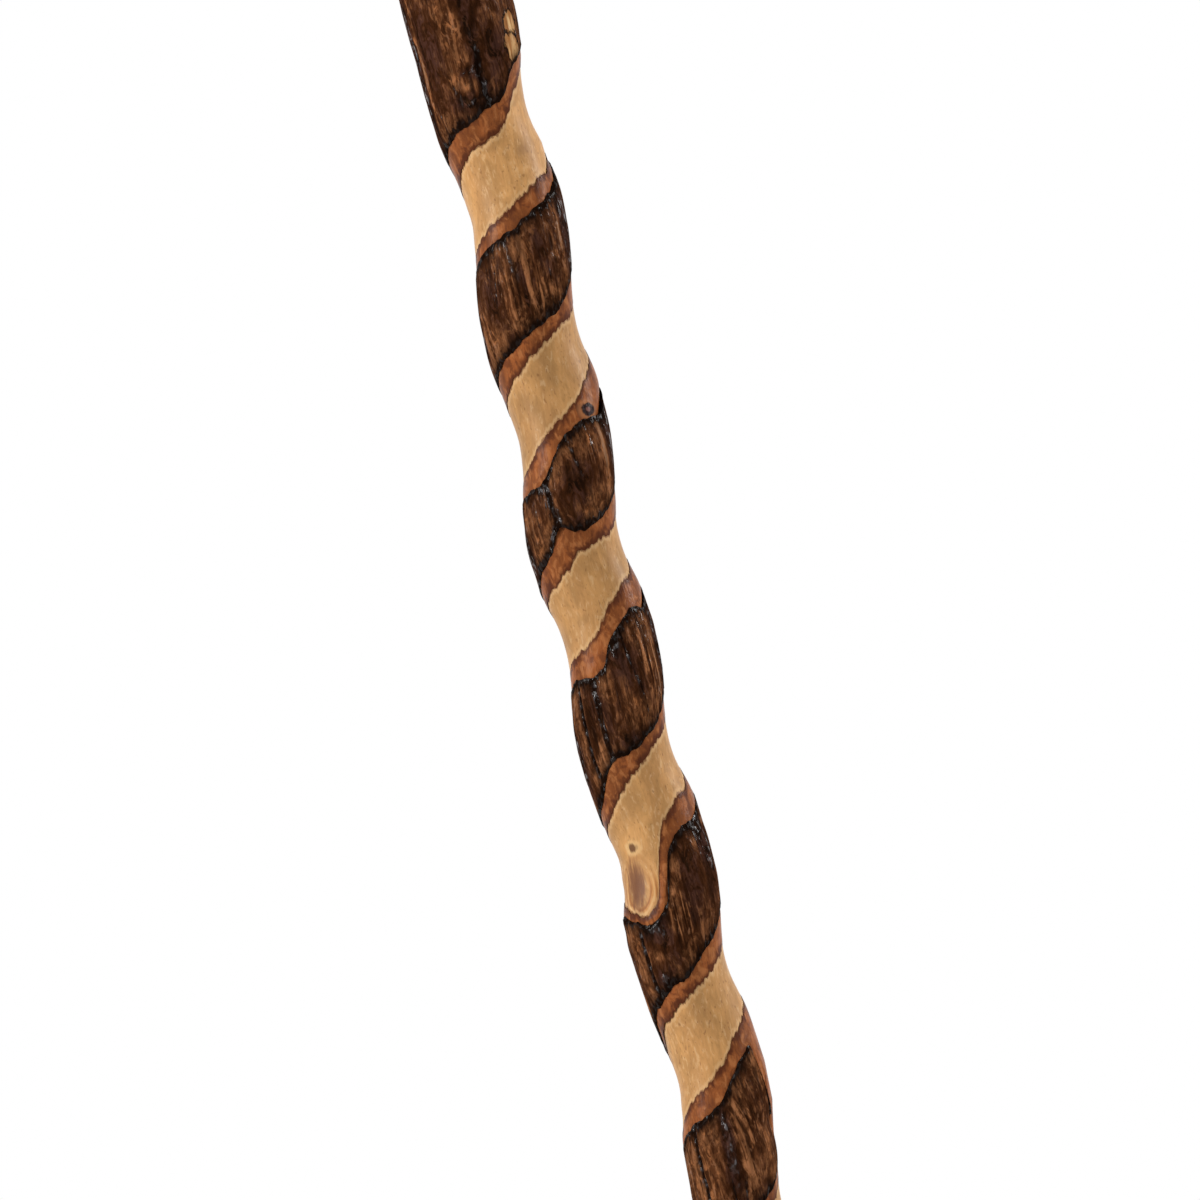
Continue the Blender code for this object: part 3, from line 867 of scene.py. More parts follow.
class Finish:
    """A material made by short calls, most of which add one node and give its output."""

    def __init__(self, name, **shader):
        self.material = bpy.data.materials.new(name)
        self.material.use_nodes = True
        self.tree = self.material.node_tree
        self.shader = self.tree.nodes["Principled BSDF"]
        self.body = None
        for socket, value in shader.items():
            self.feed(self.shader.inputs[socket.replace("_", " ").title().replace("Ior", "IOR")], value)

    def feed(self, socket, value):
        if isinstance(value, bpy.types.NodeSocket):
            self.tree.links.new(value, socket)
        elif hasattr(value, "__len__") and len(value) == 3 and socket.type == "RGBA":
            socket.default_value = (*value, 1.0)
        else:
            socket.default_value = value

    def node(self, kind, feeds, **settings):
        made = self.tree.nodes.new(kind)
        for name, value in settings.items():
            setattr(made, name, value)
        for socket, value in feeds.items():
            self.feed(made.inputs[socket], value)
        return made

    def place(self, stretch=(1, 1, 1), start=(0, 0, 0)):
        spot = self.node("ShaderNodeTexCoord", {}).outputs["Object"]
        feeds = {"Vector": spot, "Location": start, "Scale": stretch}
        return self.node("ShaderNodeMapping", feeds).outputs["Vector"]

    def height(self):
        return self.node("ShaderNodeSeparateXYZ", {0: self.place()}).outputs["Z"]

    def attribute(self, name):
        return self.node("ShaderNodeAttribute", {}, attribute_name=name).outputs["Fac"]

    def noise(self, place, size, detail=2.0, roughness=0.5, distortion=0.0):
        feeds = {"Vector": place, "Scale": 1 / size, "Detail": detail}
        feeds |= {"Roughness": roughness, "Distortion": distortion}
        return self.node("ShaderNodeTexNoise", feeds).outputs["Fac"]

    def math(self, kind, first, second=0.0):
        return self.node("ShaderNodeMath", {0: first, 1: second}, operation=kind).outputs[0]

    def plus(self, first, second):
        return self.math("ADD", first, second)

    def product(self, first, *others):
        for other in others:
            first = self.math("MULTIPLY", first, other)
        return first

    def vector(self, kind, first, second):
        return self.node("ShaderNodeVectorMath", {0: first, 1: second}, operation=kind).outputs[0]

    def length(self, vector):
        return self.node("ShaderNodeVectorMath", {0: vector}, operation="LENGTH").outputs["Value"]

    def spread(self, value, low, high, start=0.0, end=1.0):
        """Goes from start to end, with level ends, as a value goes from low to high."""
        feeds = {"Value": value, "From Min": low, "From Max": high, "To Min": start, "To Max": end}
        made = self.node("ShaderNodeMapRange", feeds, interpolation_type="SMOOTHSTEP")
        return made.outputs["Result"]

    def ragged(self, value, noise, most, contrast=0.2):
        """A value moved up and down by a noise."""
        return self.plus(value, self.spread(noise, 0.5 - contrast, 0.5 + contrast, -most, most))

    def mix(self, share, first, second, kind="MIX"):
        made = self.node("ShaderNodeMix", {}, data_type="RGBA", blend_type=kind)
        for socket, value in ((0, share), (6, first), (7, second)):
            self.feed(made.inputs[socket], value)
        return made.outputs[2]

    def lay(self, share, colour):
        """Lays a share of a colour over the body."""
        self.body = self.mix(share, self.body, colour)

    def tint(self, value, low, high, share, colour):
        """Lays a colour over the body: nothing of it where a value is at low, and the whole share at high."""
        self.lay(self.spread(value, low, high, 0, share), colour)

    def bump(self, height, distance, strength, over=None):
        feeds = {"Height": height, "Distance": distance, "Strength": strength}
        if over:
            feeds["Normal"] = over
        return self.node("ShaderNodeBump", feeds).outputs["Normal"]

    def spot(self, turn, height, half_width, half_height):
        """0 in the middle of an oval mark on the stick, and 1 at its rim."""
        middle = on_stick(np.array(turn), np.array(MARK_RADIUS), np.array(height))
        place = self.node("ShaderNodeTexCoord", {}).outputs["Object"]
        feeds = {"Vector": self.vector("SUBTRACT", place, tuple(middle)), "Angle": -math.tau * (turn - 0.25)}
        facing = self.node("ShaderNodeVectorRotate", feeds, rotation_type="Z_AXIS").outputs[0]
        scale = (1 / MARK_THICKNESS, 1 / half_width, 1 / half_height)
        return self.length(self.vector("MULTIPLY", facing, scale))

    def done(self, roughness, normal):
        """The finished material, with the same relief in its body and in the lacquer over it."""
        feeds = {"Base Color": self.body, "Roughness": roughness, "Normal": normal, "Coat Normal": normal}
        for socket, value in feeds.items():
            self.feed(self.shader.inputs[socket], value)
        return self.material


def times(colour, share):
    return tuple(min(1.0, part * share) for part in colour)


def show_branch_knot(look, flow, grain):
    """Growth rings around the sawn-off branch, strongest at their foot, and its dark heart."""
    oval = look.ragged(look.spot(*KNOT), flow, 0.06)
    rings = look.math("SINE", look.product(oval, KNOT_RINGS))
    foot = look.spread(look.height(), KNOT[1] + 0.006, KNOT[1] - 0.004, 0.15, 1.0)
    around = look.product(look.spread(oval, 1.32, 1.0), look.spread(oval, 0.50, 0.70), foot)
    look.lay(look.product(around, 0.6), (0.50, 0.20, 0.055))
    look.lay(look.product(look.spread(rings, 0.2, 1.0, 0, 0.85), around), (0.27, 0.095, 0.028))
    look.lay(look.product(look.spread(rings, -0.3, -1.0, 0, 0.6), around), (0.70, 0.45, 0.21))
    heart = look.ragged(look.spot(*KNOT_HEART), grain, 0.22)
    look.tint(heart, 1.20, 0.50, 0.92, (0.190, 0.078, 0.034))
    look.tint(heart, 0.75, 0.15, 0.6, (0.135, 0.048, 0.020))


def wood_finish(colour):
    """Sanded and lacquered wood, with its fine grain, pores and branch knot."""
    look = Finish("carved_wood", specular_ior_level=0.06, coat_weight=0.8, coat_ior=1.2, coat_roughness=0.4)
    grain = look.noise(look.place((1, 1, 0.12)), 0.0008, 3, 0.6, 0.5)
    flow = look.noise(look.place((1, 1, 0.10), (0.1, 0.5, 0)), 0.0035, 2, 0.5, 0.8)
    blotches = look.noise(look.place((1, 1, 0.5)), 0.006, 3, 0.55, 0.8)
    sand = look.noise(look.place((1, 1, 0.35), (0.5, 0.1, 0)), 0.0010, 3, 0.6, 0.5)
    pores = look.noise(look.place((1, 1, 0.45), (0.3, 0.1, 0)), 0.00050, 0, 0.4)
    flecks = look.noise(look.place((1, 1, 0.7), (0.8, 0.1, 0)), 0.0019, 1, 0.5)
    look.body = look.mix(look.spread(blotches, 0.30, 0.70), times(colour, 0.80), times(colour, 1.18))
    look.tint(flow, 0.40, 0.66, 0.30, (0.38, 0.180, 0.064))
    look.tint(grain, 0.48, 0.68, 0.22, times(colour, 0.60))
    look.tint(sand, 0.48, 0.30, 0.40, times(colour, 0.62))
    look.tint(sand, 0.52, 0.70, 0.40, (0.68, 0.45, 0.235))
    look.tint(pores, 0.71, 0.80, 0.5, (0.18, 0.072, 0.026))
    look.tint(flecks, 0.74, 0.84, 0.6, (0.17, 0.070, 0.028))
    look.body = look.mix(1.0, look.body, look.attribute("tone"), "MULTIPLY")
    show_branch_knot(look, flow, grain)
    pin = look.ragged(look.spot(*WOOD_PIN_KNOT), grain, 0.25)
    look.tint(pin, 2.2, 1.3, 0.5, (0.68, 0.44, 0.20))
    look.tint(pin, 1.3, 0.6, 0.9, (0.10, 0.034, 0.012))
    smudge = look.ragged(look.spot(*WOOD_SMUDGE), grain, 0.3)
    look.tint(smudge, 1.2, 0.3, 0.5, (0.26, 0.13, 0.055))
    fringe = look.ragged(look.attribute("edge_mm"), sand, 0.5, 0.25)
    look.tint(fringe, 1.8, 0.9, 0.35, (0.70, 0.46, 0.23))
    look.tint(fringe, 0.60, 0.20, 0.75, (0.20, 0.080, 0.030))
    relief = look.bump(pores, 0.00006, 0.5, look.bump(grain, 0.00005, 0.5))
    return look.done(look.spread(grain, 0.3, 0.7, 0.45, 0.60), relief)


def inner_bark_finish(colour):
    """Cinnamon inner bark, fibrous along the stick and darker at its edges, with a pin knot that has a
    painted highlight in its middle.
    """
    look = Finish("inner_bark", specular_ior_level=0.03, coat_weight=0.6, coat_ior=1.14, coat_roughness=0.22)
    fibres = look.noise(look.place((1, 1, 0.20)), 0.0008, 3, 0.62, 0.5)
    blotches = look.noise(look.place((1, 1, 0.6), (0.6, 0.2, 0)), 0.0022, 3, 0.6, 0.7)
    patches = look.noise(look.place((1, 1, 0.5)), 0.006, 2, 0.5, 0.6)
    look.body = look.mix(look.spread(patches, 0.32, 0.68), times(colour, 0.66), times(colour, 1.08))
    look.tint(blotches, 0.50, 0.64, 0.60, (0.40, 0.150, 0.050))
    look.tint(blotches, 0.48, 0.34, 0.75, (0.115, 0.032, 0.011))
    look.tint(fibres, 0.48, 0.68, 0.50, (0.120, 0.036, 0.013))
    edge = look.ragged(look.attribute("edge_mm"), blotches, 0.9, 0.25)
    look.tint(edge, 2.5, 0.4, 0.88, (0.070, 0.018, 0.007))
    pin = look.ragged(look.spot(*INNER_PIN_KNOT), blotches, 0.12)
    look.tint(pin, 1.9, 1.1, 0.55, (0.36, 0.15, 0.060))
    look.tint(pin, 1.10, 0.85, 1.0, (0.013, 0.0022, 0.0018))
    # Painted highlight in the middle of the pin knot
    look.tint(pin, 0.50, 0.20, 0.8, (0.21, 0.080, 0.060))
    return look.done(look.spread(fibres, 0.3, 0.7, 0.42, 0.55), look.bump(fibres, 0.00016, 0.8))


def leaning_lines(look):
    """Long lines along the bark, which lean over in the lowest bark in view."""
    lean = look.spread(look.height(), *LEANING, -LEAN_REACH, 0)
    shift = look.node("ShaderNodeCombineXYZ", {"X": lean}).outputs[0]
    feeds = {"Vector": look.vector("ADD", look.place(), shift), "Scale": (1, 1, 0.035)}
    return look.noise(look.node("ShaderNodeMapping", feeds).outputs["Vector"], 0.0011, 1, 0.5, 0.5)


def show_scar(look, streaks, fine, mottles):
    """The pale scar above the highest crossing in view: two lobes with a black rim, and a dark split."""
    scar = look.ragged(look.math("MINIMUM", *(look.spot(*lobe) for lobe in SCAR_LOBES)), mottles, 0.16)
    pale = look.mix(look.spread(streaks, 0.34, 0.62), (0.30, 0.130, 0.045), (0.58, 0.36, 0.165))
    pale = look.mix(look.spread(fine, 0.44, 0.33, 0, 0.6), pale, (0.16, 0.062, 0.022))
    pale = look.mix(look.spread(scar, 0.45, 0.95, 0, 0.7), pale, (0.26, 0.105, 0.034))
    split = look.math("SUBTRACT", look.ragged(look.height(), mottles, 0.0008), SCAR_SPLIT)
    split = look.math("ABSOLUTE", split)
    pale = look.mix(look.spread(split, 0.0006, 0.0002, 0, 0.9), pale, times(BLACK, 2))
    look.tint(scar, 1.30, 1.08, 1.0, BLACK)
    look.tint(scar, 1.06, 0.92, 1.0, pale)


def outer_bark_finish(colour):
    """Dark lacquered bark: brown and ochre streaks along the stick, black in furrows and at its cut edge."""
    look = Finish("outer_bark", specular_ior_level=0.0, coat_ior=1.30, coat_roughness=0.16)
    deep = (0.046, 0.0148, 0.0052)
    plum = (0.060, 0.0250, 0.0180)
    ochre = (0.220, 0.090, 0.037)
    rust = (0.36, 0.135, 0.050)
    streaks = look.noise(look.place((1, 1, 0.13)), 0.0017, 2, 0.5, 0.7)
    fine = look.noise(look.place((1, 1, 0.25), (0.2, 0, 0)), 0.0006, 3, 0.6, 0.5)
    mottles = look.noise(look.place((1, 1, 0.50), (0.4, 0.7, 0)), 0.0017, 3, 0.6, 1.0)
    lumps = look.noise(look.place((1, 1, 0.60), (0.1, 0.3, 0)), 0.0011, 1, 0.5, 0.5)
    warm = look.noise(look.place((1, 1, 0.45), (0.1, 0.9, 0)), 0.0028, 3, 0.65, 1.1)
    lines = leaning_lines(look)
    patch, lined, slope, furrow = (look.attribute(name) for name in ("tone", "lined", "slope_mm", "furrow"))
    tone = look.ragged(patch, warm, 0.55)

    # From black through brown to the patch's own tone, where the black also paints the dark reflections at
    # the stick's sides
    look.body = look.mix(look.spread(tone, -1.15, -0.70), times(BLACK, 1.2), deep)
    look.tint(tone, -0.60, 0.15, 1.0, colour)
    hazy = look.product(look.spread(warm, 0.44, 0.58), look.spread(tone, 0.4, -0.3))
    look.lay(look.product(hazy, 0.85), plum)

    # Streaks, mottles and lines, each with its light and its dark side
    look.tint(streaks, 0.48, 0.34, 0.65, times(deep, 0.6))
    lit = look.product(look.spread(streaks, 0.49, 0.64), look.spread(tone, -0.5, 0.9, 0.03, 1.0))
    look.lay(look.product(lit, 0.68), ochre)
    spots = look.product(look.spread(mottles, 0.50, 0.64), look.spread(tone, -0.1, 0.8, 0, 0.88))
    look.lay(look.product(spots, look.spread(lined, 0, 1, 1, 0.25)), rust)
    gaps = look.product(look.spread(mottles, 0.47, 0.34), look.spread(tone, 1.2, 0.2, 0.35, 0.72))
    look.lay(gaps, times(deep, 0.6))
    long = look.product(look.spread(lines, 0.53, 0.61), look.spread(tone, -0.5, 0.7))
    look.lay(look.product(long, look.spread(lined, 0, 1, 0.4, 1.0)), times(ochre, 1.6))
    look.lay(look.product(look.spread(lines, 0.49, 0.42), lined), times(deep, 0.5))

    # The bark's own thin layers, where the groove cuts through them
    layers = look.math("SINE", look.ragged(look.product(slope, 10.0), warm, 5.0, 0.3))
    cut = look.product(look.spread(layers, 0.1, 1.0), look.spread(slope, 0.05, 0.35))
    look.lay(look.product(cut, look.spread(tone, -0.7, 0.5, 0.05, 0.60)), times(ochre, 0.9))

    # Fine grain, worn tips, painted highlight lines and what the furrows hold
    look.tint(fine, 0.47, 0.34, 0.60, times(deep, 0.4))
    tips = look.product(look.spread(fine, 0.55, 0.68), look.spread(tone, -0.6, 0.9, 0.10, 0.60))
    look.lay(tips, times(ochre, 1.3))
    # Painted highlight: pale where the tone goes past 1.1, which is the thin painted lines at the stick's
    # sides and a little of the lightest ochre spots
    look.tint(tone, 1.1, 1.9, 0.8, (0.29, 0.150, 0.080))
    look.tint(look.attribute("relief"), 0.50, 0.95, 0.65, BLACK)
    look.tint(furrow, 0.15, 0.75, 0.95, BLACK)
    show_scar(look, streaks, fine, mottles)
    edge = look.ragged(look.attribute("edge_mm"), streaks, 0.9, 0.25)
    look.tint(edge, 4.6, 1.3, 0.62, times(BLACK, 1.3))
    look.tint(edge, 2.1, 1.1, 0.94, BLACK)

    # Lacquer, which pools and dries in drops in the furrows and along the cut edge, with painted grey
    # highlights on its drops
    pooled = look.math("MAXIMUM", look.spread(furrow, 0.1, 0.7), look.spread(patch, -0.9, -1.2, 0, 0.8))
    pooled = look.math("MAXIMUM", pooled, look.spread(edge, 2.4, 0.9, 0, 0.4))
    wet = look.product(pooled, look.spread(lumps, 0.45, 0.60))
    glints = look.math("MAXIMUM", wet, look.product(tips, 1.2))
    glints = look.product(glints, look.spread(patch, -1.7, -1.4))
    look.feed(look.shader.inputs["Coat Weight"], look.spread(glints, 0.0, 0.9, 0.02, 1.0))
    # Painted highlights: blue-grey laid into the colour on the lumps of pooled lacquer, as glints that show
    # whichever way the lamps stand
    painted_glints = look.product(look.spread(pooled, 0.45, 0.8), look.spread(lumps, 0.60, 0.72, 0, 0.6))
    look.lay(look.product(painted_glints, look.spread(patch, -1.75, -1.55)), (0.125, 0.115, 0.120))
    bump = look.bump(look.product(lumps, pooled), 0.0009, 0.8, look.bump(streaks, 0.0005, 0.8))
    return look.done(look.spread(fine, 0.3, 0.7, 0.40, 0.60), look.bump(fine, 0.00014, 0.8, bump))


def handle_finish(name, colour, axis, heart):
    """Turned and oiled hardwood, with growth rings around a heart that runs along an axis."""
    look = Finish(name, specular_ior_level=0.0, coat_weight=0.3, coat_ior=1.22, coat_roughness=0.46)
    start = tuple(0.0 if i == axis else -part for i, part in enumerate(heart))
    shares = (0.10, 0.02, 0.06)
    long, longest, longer = (tuple(share if i == axis else 1.0 for i in range(3)) for share in shares)
    place = look.place(long, start)
    sway = look.product(look.noise(place, 0.020, 2, 0.5), 0.010)
    rings = look.plus(look.length(look.place(longest, start)), sway)
    rings = look.math("SINE", look.product(rings, HANDLE_RINGS))
    grain = look.noise(place, 0.0006, 3, 0.6, 0.3)
    pores = look.noise(look.place(longer), 0.00035, 1, 0.4)
    blotches = look.noise(place, 0.012, 2, 0.5, 0.4)
    look.body = look.mix(look.spread(blotches, 0.3, 0.7), times(colour, 0.82), times(colour, 1.12))
    look.tint(rings, 0.2, 1.0, 0.38, times(colour, 0.52))
    look.tint(grain, 0.45, 0.68, 0.35, times(colour, 0.55))
    look.tint(pores, 0.62, 0.74, 0.6, times(colour, 0.25))
    relief = look.bump(pores, 0.00006, 0.5, look.bump(grain, 0.00005, 0.5))
    return look.done(look.spread(grain, 0.3, 0.7, 0.34, 0.48), relief)


def turned_metal_finish(name, colour, line, wear):
    """Turned metal with its fine tool lines, dulled in places."""
    look = Finish(name, metallic=1.0)
    lines = look.noise(look.place((0.06, 0.06, 1)), line, 2, 0.6)
    dull = look.noise(look.place(), 0.0035, 3, 0.6, 0.5)
    specks = look.noise(look.place((1, 1, 1), (0.4, 0, 0)), 0.0006, 2, 0.6)
    look.body = look.mix(look.spread(dull, 0.40, 0.70, 0, 0.7), colour, wear)
    look.tint(specks, 0.64, 0.76, 0.4, times(wear, 0.4))
    return look.done(look.spread(dull, 0.35, 0.70, 0.22, 0.42), look.bump(lines, 0.00003, 0.6))


def rubber_finish(colour):
    """Black moulded rubber, finely pitted, with dust and scuffs low down."""
    look = Finish("tip_rubber", specular_ior_level=0.15)
    pits = look.noise(look.place(), 0.0005, 3, 0.6)
    cloudy = look.noise(look.place(), 0.006, 3, 0.6, 0.6)
    scuffs = look.noise(look.place((1, 1, 3.5)), 0.0018, 4, 0.65, 0.8)
    low = look.spread(look.height(), 0.018, 0.004)
    look.body = look.mix(look.spread(cloudy, 0.35, 0.70), times(colour, 0.8), times(colour, 1.4))
    worn = look.product(look.spread(scuffs, 0.50, 0.70, 0, 0.6), look.plus(low, 0.15))
    look.lay(worn, (0.085, 0.078, 0.070))
    relief = look.bump(pits, 0.00007, 0.6, look.bump(scuffs, 0.00010, 0.35))
    return look.done(look.spread(cloudy, 0.3, 0.7, 0.52, 0.74), relief)


def background_rays(tree):
    """1 for rays that show the background, straight or in a glossy or clear surface, and 0 for the others."""
    path = tree.nodes.new("ShaderNodeLightPath")
    seen = path.outputs["Is Camera Ray"]
    for ray in ("Is Glossy Ray", "Is Transmission Ray"):
        both = tree.nodes.new("ShaderNodeMath")
        both.operation = "MAXIMUM"
        tree.links.new(seen, both.inputs[0])
        tree.links.new(path.outputs[ray], both.inputs[1])
        seen = both.outputs[0]
    return seen


def floor_finish():
    """Pale floor that fades into the white background away from the cane, and keeps its shadow."""
    look = Finish("pale_floor", specular_ior_level=0.1, roughness=0.8)
    grain = look.noise(look.place(), 0.02, 3)
    look.feed(look.shader.inputs["Base Color"], look.mix(grain, (0.80, 0.80, 0.79), (0.84, 0.84, 0.83)))
    far = look.spread(look.length(look.place()), *FLOOR_FADE)
    white = look.node("ShaderNodeEmission", {"Color": (1, 1, 1), "Strength": 1.0})
    fading = look.node("ShaderNodeMixShader", {0: look.product(far, background_rays(look.tree))})
    look.feed(fading.inputs[1], look.shader.outputs[0])
    look.feed(fading.inputs[2], white.outputs[0])
    look.feed(look.tree.nodes["Material Output"].inputs["Surface"], fading.outputs[0])
    return look.material


# Pieces

# What the properties of the colours have in common
PARTS_OF_COLOUR = {"size": 3, "min": 0, "max": 1}


class CaneSizes(bpy.types.PropertyGroup):
    """Sizes of the bark's relief and of the handle's facets."""

    furrow_depth: FloatProperty(
        name="Furrow Depth",
        description="How deep the furrows cut into the outer bark",
        unit="LENGTH",
        default=0.0006,
        min=0,
        max=0.001,
        precision=5,
    )
    ridge_height: FloatProperty(
        name="Ridge Height",
        description="How far the bark's long ridges stand above the hollows beside them",
        unit="LENGTH",
        default=0.00016,
        min=0,
        max=0.0004,
        precision=5,
    )
    raggedness: FloatProperty(
        name="Edge Raggedness",
        description="How far the cut edges of the bark stray from a clean line",
        unit="LENGTH",
        default=0.0007,
        min=0,
        max=0.002,
        precision=5,
    )
    grip_voxel: FloatProperty(
        name="Grip Detail",
        description="Size of the facets of the handle",
        unit="LENGTH",
        default=0.00065,
        min=0.0004,
        max=0.003,
        precision=5,
    )


class CaneColours(bpy.types.PropertyGroup):
    """Colours of the cane's materials, as linear values."""

    wood: FloatVectorProperty(
        name="Wood",
        description="Bare wood in the groove",
        subtype="COLOR",
        default=(0.475, 0.245, 0.087),
        **PARTS_OF_COLOUR,
    )
    inner_bark: FloatVectorProperty(
        name="Inner Bark",
        description="Bands beside the groove",
        subtype="COLOR",
        default=(0.265, 0.079, 0.022),
        **PARTS_OF_COLOUR,
    )
    outer_bark: FloatVectorProperty(
        name="Outer Bark",
        description="Weathered bark on the ridges",
        subtype="COLOR",
        default=(0.090, 0.0310, 0.0115),
        **PARTS_OF_COLOUR,
    )
    handle: FloatVectorProperty(
        name="Handle",
        description="Wood of the handle",
        subtype="COLOR",
        default=(0.42, 0.22, 0.09),
        **PARTS_OF_COLOUR,
    )
    plug: FloatVectorProperty(
        name="Plug",
        description="Darker wood of the plug in the handle",
        subtype="COLOR",
        default=(0.28, 0.095, 0.035),
        **PARTS_OF_COLOUR,
    )
    brass: FloatVectorProperty(
        name="Collar",
        description="Brass of the collar",
        subtype="COLOR",
        default=(0.72, 0.50, 0.20),
        **PARTS_OF_COLOUR,
    )
    steel: FloatVectorProperty(
        name="Fixings",
        description="Steel of the screw and the washers",
        subtype="COLOR",
        default=(0.50, 0.51, 0.52),
        **PARTS_OF_COLOUR,
    )
    rubber: FloatVectorProperty(
        name="Tip",
        description="Rubber of the tip",
        subtype="COLOR",
        default=(0.018, 0.017, 0.016),
        **PARTS_OF_COLOUR,
    )


def tenon_rings(outline):
    """Rings around a tenon of the stick, from an outline of radius and height."""
    side = whole_round()
    everywhere = np.ones(side.shape)
    return [on_stick(side, radius * everywhere, height * everywhere) for radius, height in outline]


class CANE_OT_wood(bpy.types.Operator):
    """Carved wood of the stick, with its tenons"""

    bl_idname = "cane.wood"
    bl_label = "Carved Wood"

    def execute(self, context):
        turn = section_turns()
        above, below = cut_end(turn, INNER_ABOVE), cut_end(turn + 1, INNER_BELOW)
        low, high = crossing(turn), crossing(turn + 1)
        share = np.arange(WOOD_ROWS) / (WOOD_ROWS - 1)
        first = low[:, None] + (above[:, None] + WOOD_UNDER_BARK) * share
        last = high[:, None] - (below[:, None] + WOOD_UNDER_BARK) * share[::-1]
        middle = first[:, -1:] + (last[:, :1] - first[:, -1:]) * np.array([0.25, 0.5, 0.75])
        rows = np.concatenate([first, middle, last], axis=1)
        strip = Strip(turn, rows)
        to_edge = np.minimum(rows - low[:, None] - above[:, None], high[:, None] - below[:, None] - rows)
        ends = []
        for height, outline in ((STICK_BOTTOM, FOOT_TENON), (STICK_TOP, TOP_TENON)):
            shoulder = end_strip(height)
            ends.append([shoulder.points(shoulder.wood())[:, 0], *tenon_rings(outline)])
        wound_piece(
            "carved_wood",
            strip.points(strip.wood()),
            {},
            np.arange(rows.shape[1]) / (rows.shape[1] - 1),
            ends,
            wood_finish(context.scene.cane_colours.wood),
            "shaft",
            {"edge_mm": -to_edge / MM, "tone": np.interp(rows, *zip(*WOOD_TONES))},
        )
        return {"FINISHED"}


def bark_layer(name, edges, edge_steps, middle, surfaces, finish, node):
    """A layer of bark from one side of the groove to the other. edges are its columns in LAYER_ENDS_MM, and
    surfaces gives its top, its underside and values for its finish, for the places of a strip."""
    turn = section_turns()
    low = crossing(turn) + cut_end(turn, edges[0])
    high = crossing(turn + 1) - cut_end(turn + 1, edges[1])
    heights = placed_rows(low, high, edge_steps, middle)
    share = np.arange(HIDDEN_ROWS) / (HIDDEN_ROWS - 1)
    back = high[:, None] + (low - high)[:, None] * share
    shown, under = Strip(turn, heights), Strip(turn, back)
    top, _, over_values = surfaces(shown, low, high)
    _, bottom, under_values = surfaces(under, low, high)
    rings = np.concatenate([shown.points(top), under.points(bottom)], axis=1)
    values = {key: np.concatenate([over_values[key], under_values[key]], axis=1) for key in over_values}
    open_low = low - crossing(turn) > SHUT
    open_high = crossing(turn + 1) - high > SHUT
    walls = {heights.shape[1] - 1: open_high, rings.shape[1] - 1: open_low}
    ends = []
    for height in (STICK_BOTTOM, STICK_TOP):
        ring = end_strip(height)
        top, bottom, _ = surfaces(ring, *(np.full(COLUMNS + 1, far) for far in (FAR_BELOW, FAR_ABOVE)))
        ends.append([ring.points(top)[:, 0], ring.points(bottom)[:, 0]])
    wound_piece(name, rings, walls, row_places(edge_steps, middle), ends, finish, node, values)


def to_cut(strip, low, high, seam):
    """How far places lie from a layer's cut edges. It is seam more where the groove's two sides meet, so that
    nothing marks an edge there."""
    below, above = strip.ends
    seam_low = seam * (1 - np.minimum(1, below[..., OUTER_ABOVE] / NEARLY_SHUT))
    seam_high = seam * (1 - np.minimum(1, above[..., OUTER_BELOW] / NEARLY_SHUT))
    return np.minimum(strip.height - low[:, None] + seam_low, high[:, None] - strip.height + seam_high)


def inner_surfaces(strip, low, high):
    """Top and underside of the inner bark, and values for its finish."""
    bottom = strip.wood() - LAYER_GAP
    top = np.minimum(strip.inner_top(), bottom - INNER_THINNEST)
    return top, bottom, {"edge_mm": to_cut(strip, low, high, 0) / MM}


def outer_surfaces(strip, low, high):
    """Top and underside of the outer bark, and values for its finish."""
    bottom = strip.inner_top() - LAYER_GAP
    relief, values = bark_relief(strip)
    values["slope_mm"] = strip.slope() / MM
    top = np.minimum(strip.slope() + relief, bottom - OUTER_THINNEST)
    rise = eased(to_cut(strip, low, high, EDGE_RISE) / EDGE_RISE)
    top = bottom - OUTER_LIP + (top - bottom + OUTER_LIP) * rise
    return top, bottom, {"edge_mm": to_cut(strip, low, high, CLOSED_SEAM) / MM, **values}


class CANE_OT_inner_bark(bpy.types.Operator):
    """Inner bark, which shows as a band on each side of the groove"""

    bl_idname = "cane.inner_bark"
    bl_label = "Inner Bark"

    def execute(self, context):
        finish = inner_bark_finish(context.scene.cane_colours.inner_bark)
        edges = INNER_ABOVE, INNER_BELOW
        steps = [step * MM for step in (0, 0.3, 0.9, 1.9, 3.0, 4.2, 5.6, 7.2)]
        bark_layer("inner_bark_layer", edges, steps, 2, inner_surfaces, finish, "inner_bark")
        return {"FINISHED"}


class CANE_OT_outer_bark(bpy.types.Operator):
    """Outer bark on the ridges, with its furrows and its ragged cut edges"""

    bl_idname = "cane.outer_bark"
    bl_label = "Outer Bark"

    def execute(self, context):
        finish = outer_bark_finish(context.scene.cane_colours.outer_bark)
        edges = OUTER_ABOVE, OUTER_BELOW
        steps = [step * MM for step in (0, 0.25, 0.5, 0.8)]
        bark_layer("outer_bark_layer", edges, steps, 24, outer_surfaces, finish, "outer_bark")
        return {"FINISHED"}


def beside(strip, side):
    """How far places lie around the stick from a side in degrees."""
    return np.radians((strip.turn * 360 - side + 180) % 360 - 180) * BARK_RADIUS


def patch_share(strip, side, height, half_width, half_height):
    """1 in the middle of a patch, fading out around it."""
    around = beside(strip, side) / (half_width * MM)
    along = (strip.height - height) / (half_height * MM)
    return np.exp(-(around**2 + along**2))


def bark_tone(strip, place):
    """The bark's tone, from -1 for dark to 1 for ochre: its patches, among them painted highlight lines and
    painted dark reflections at the stick's sides, and clouds of its own between them.
    """
    tone = noise_at(place, *TONE_CLOUDS) * 0.9
    for *patch, value in TONES:
        share = patch_share(strip, *patch)
        tone = tone * (1 - share) + value * share
    return tone


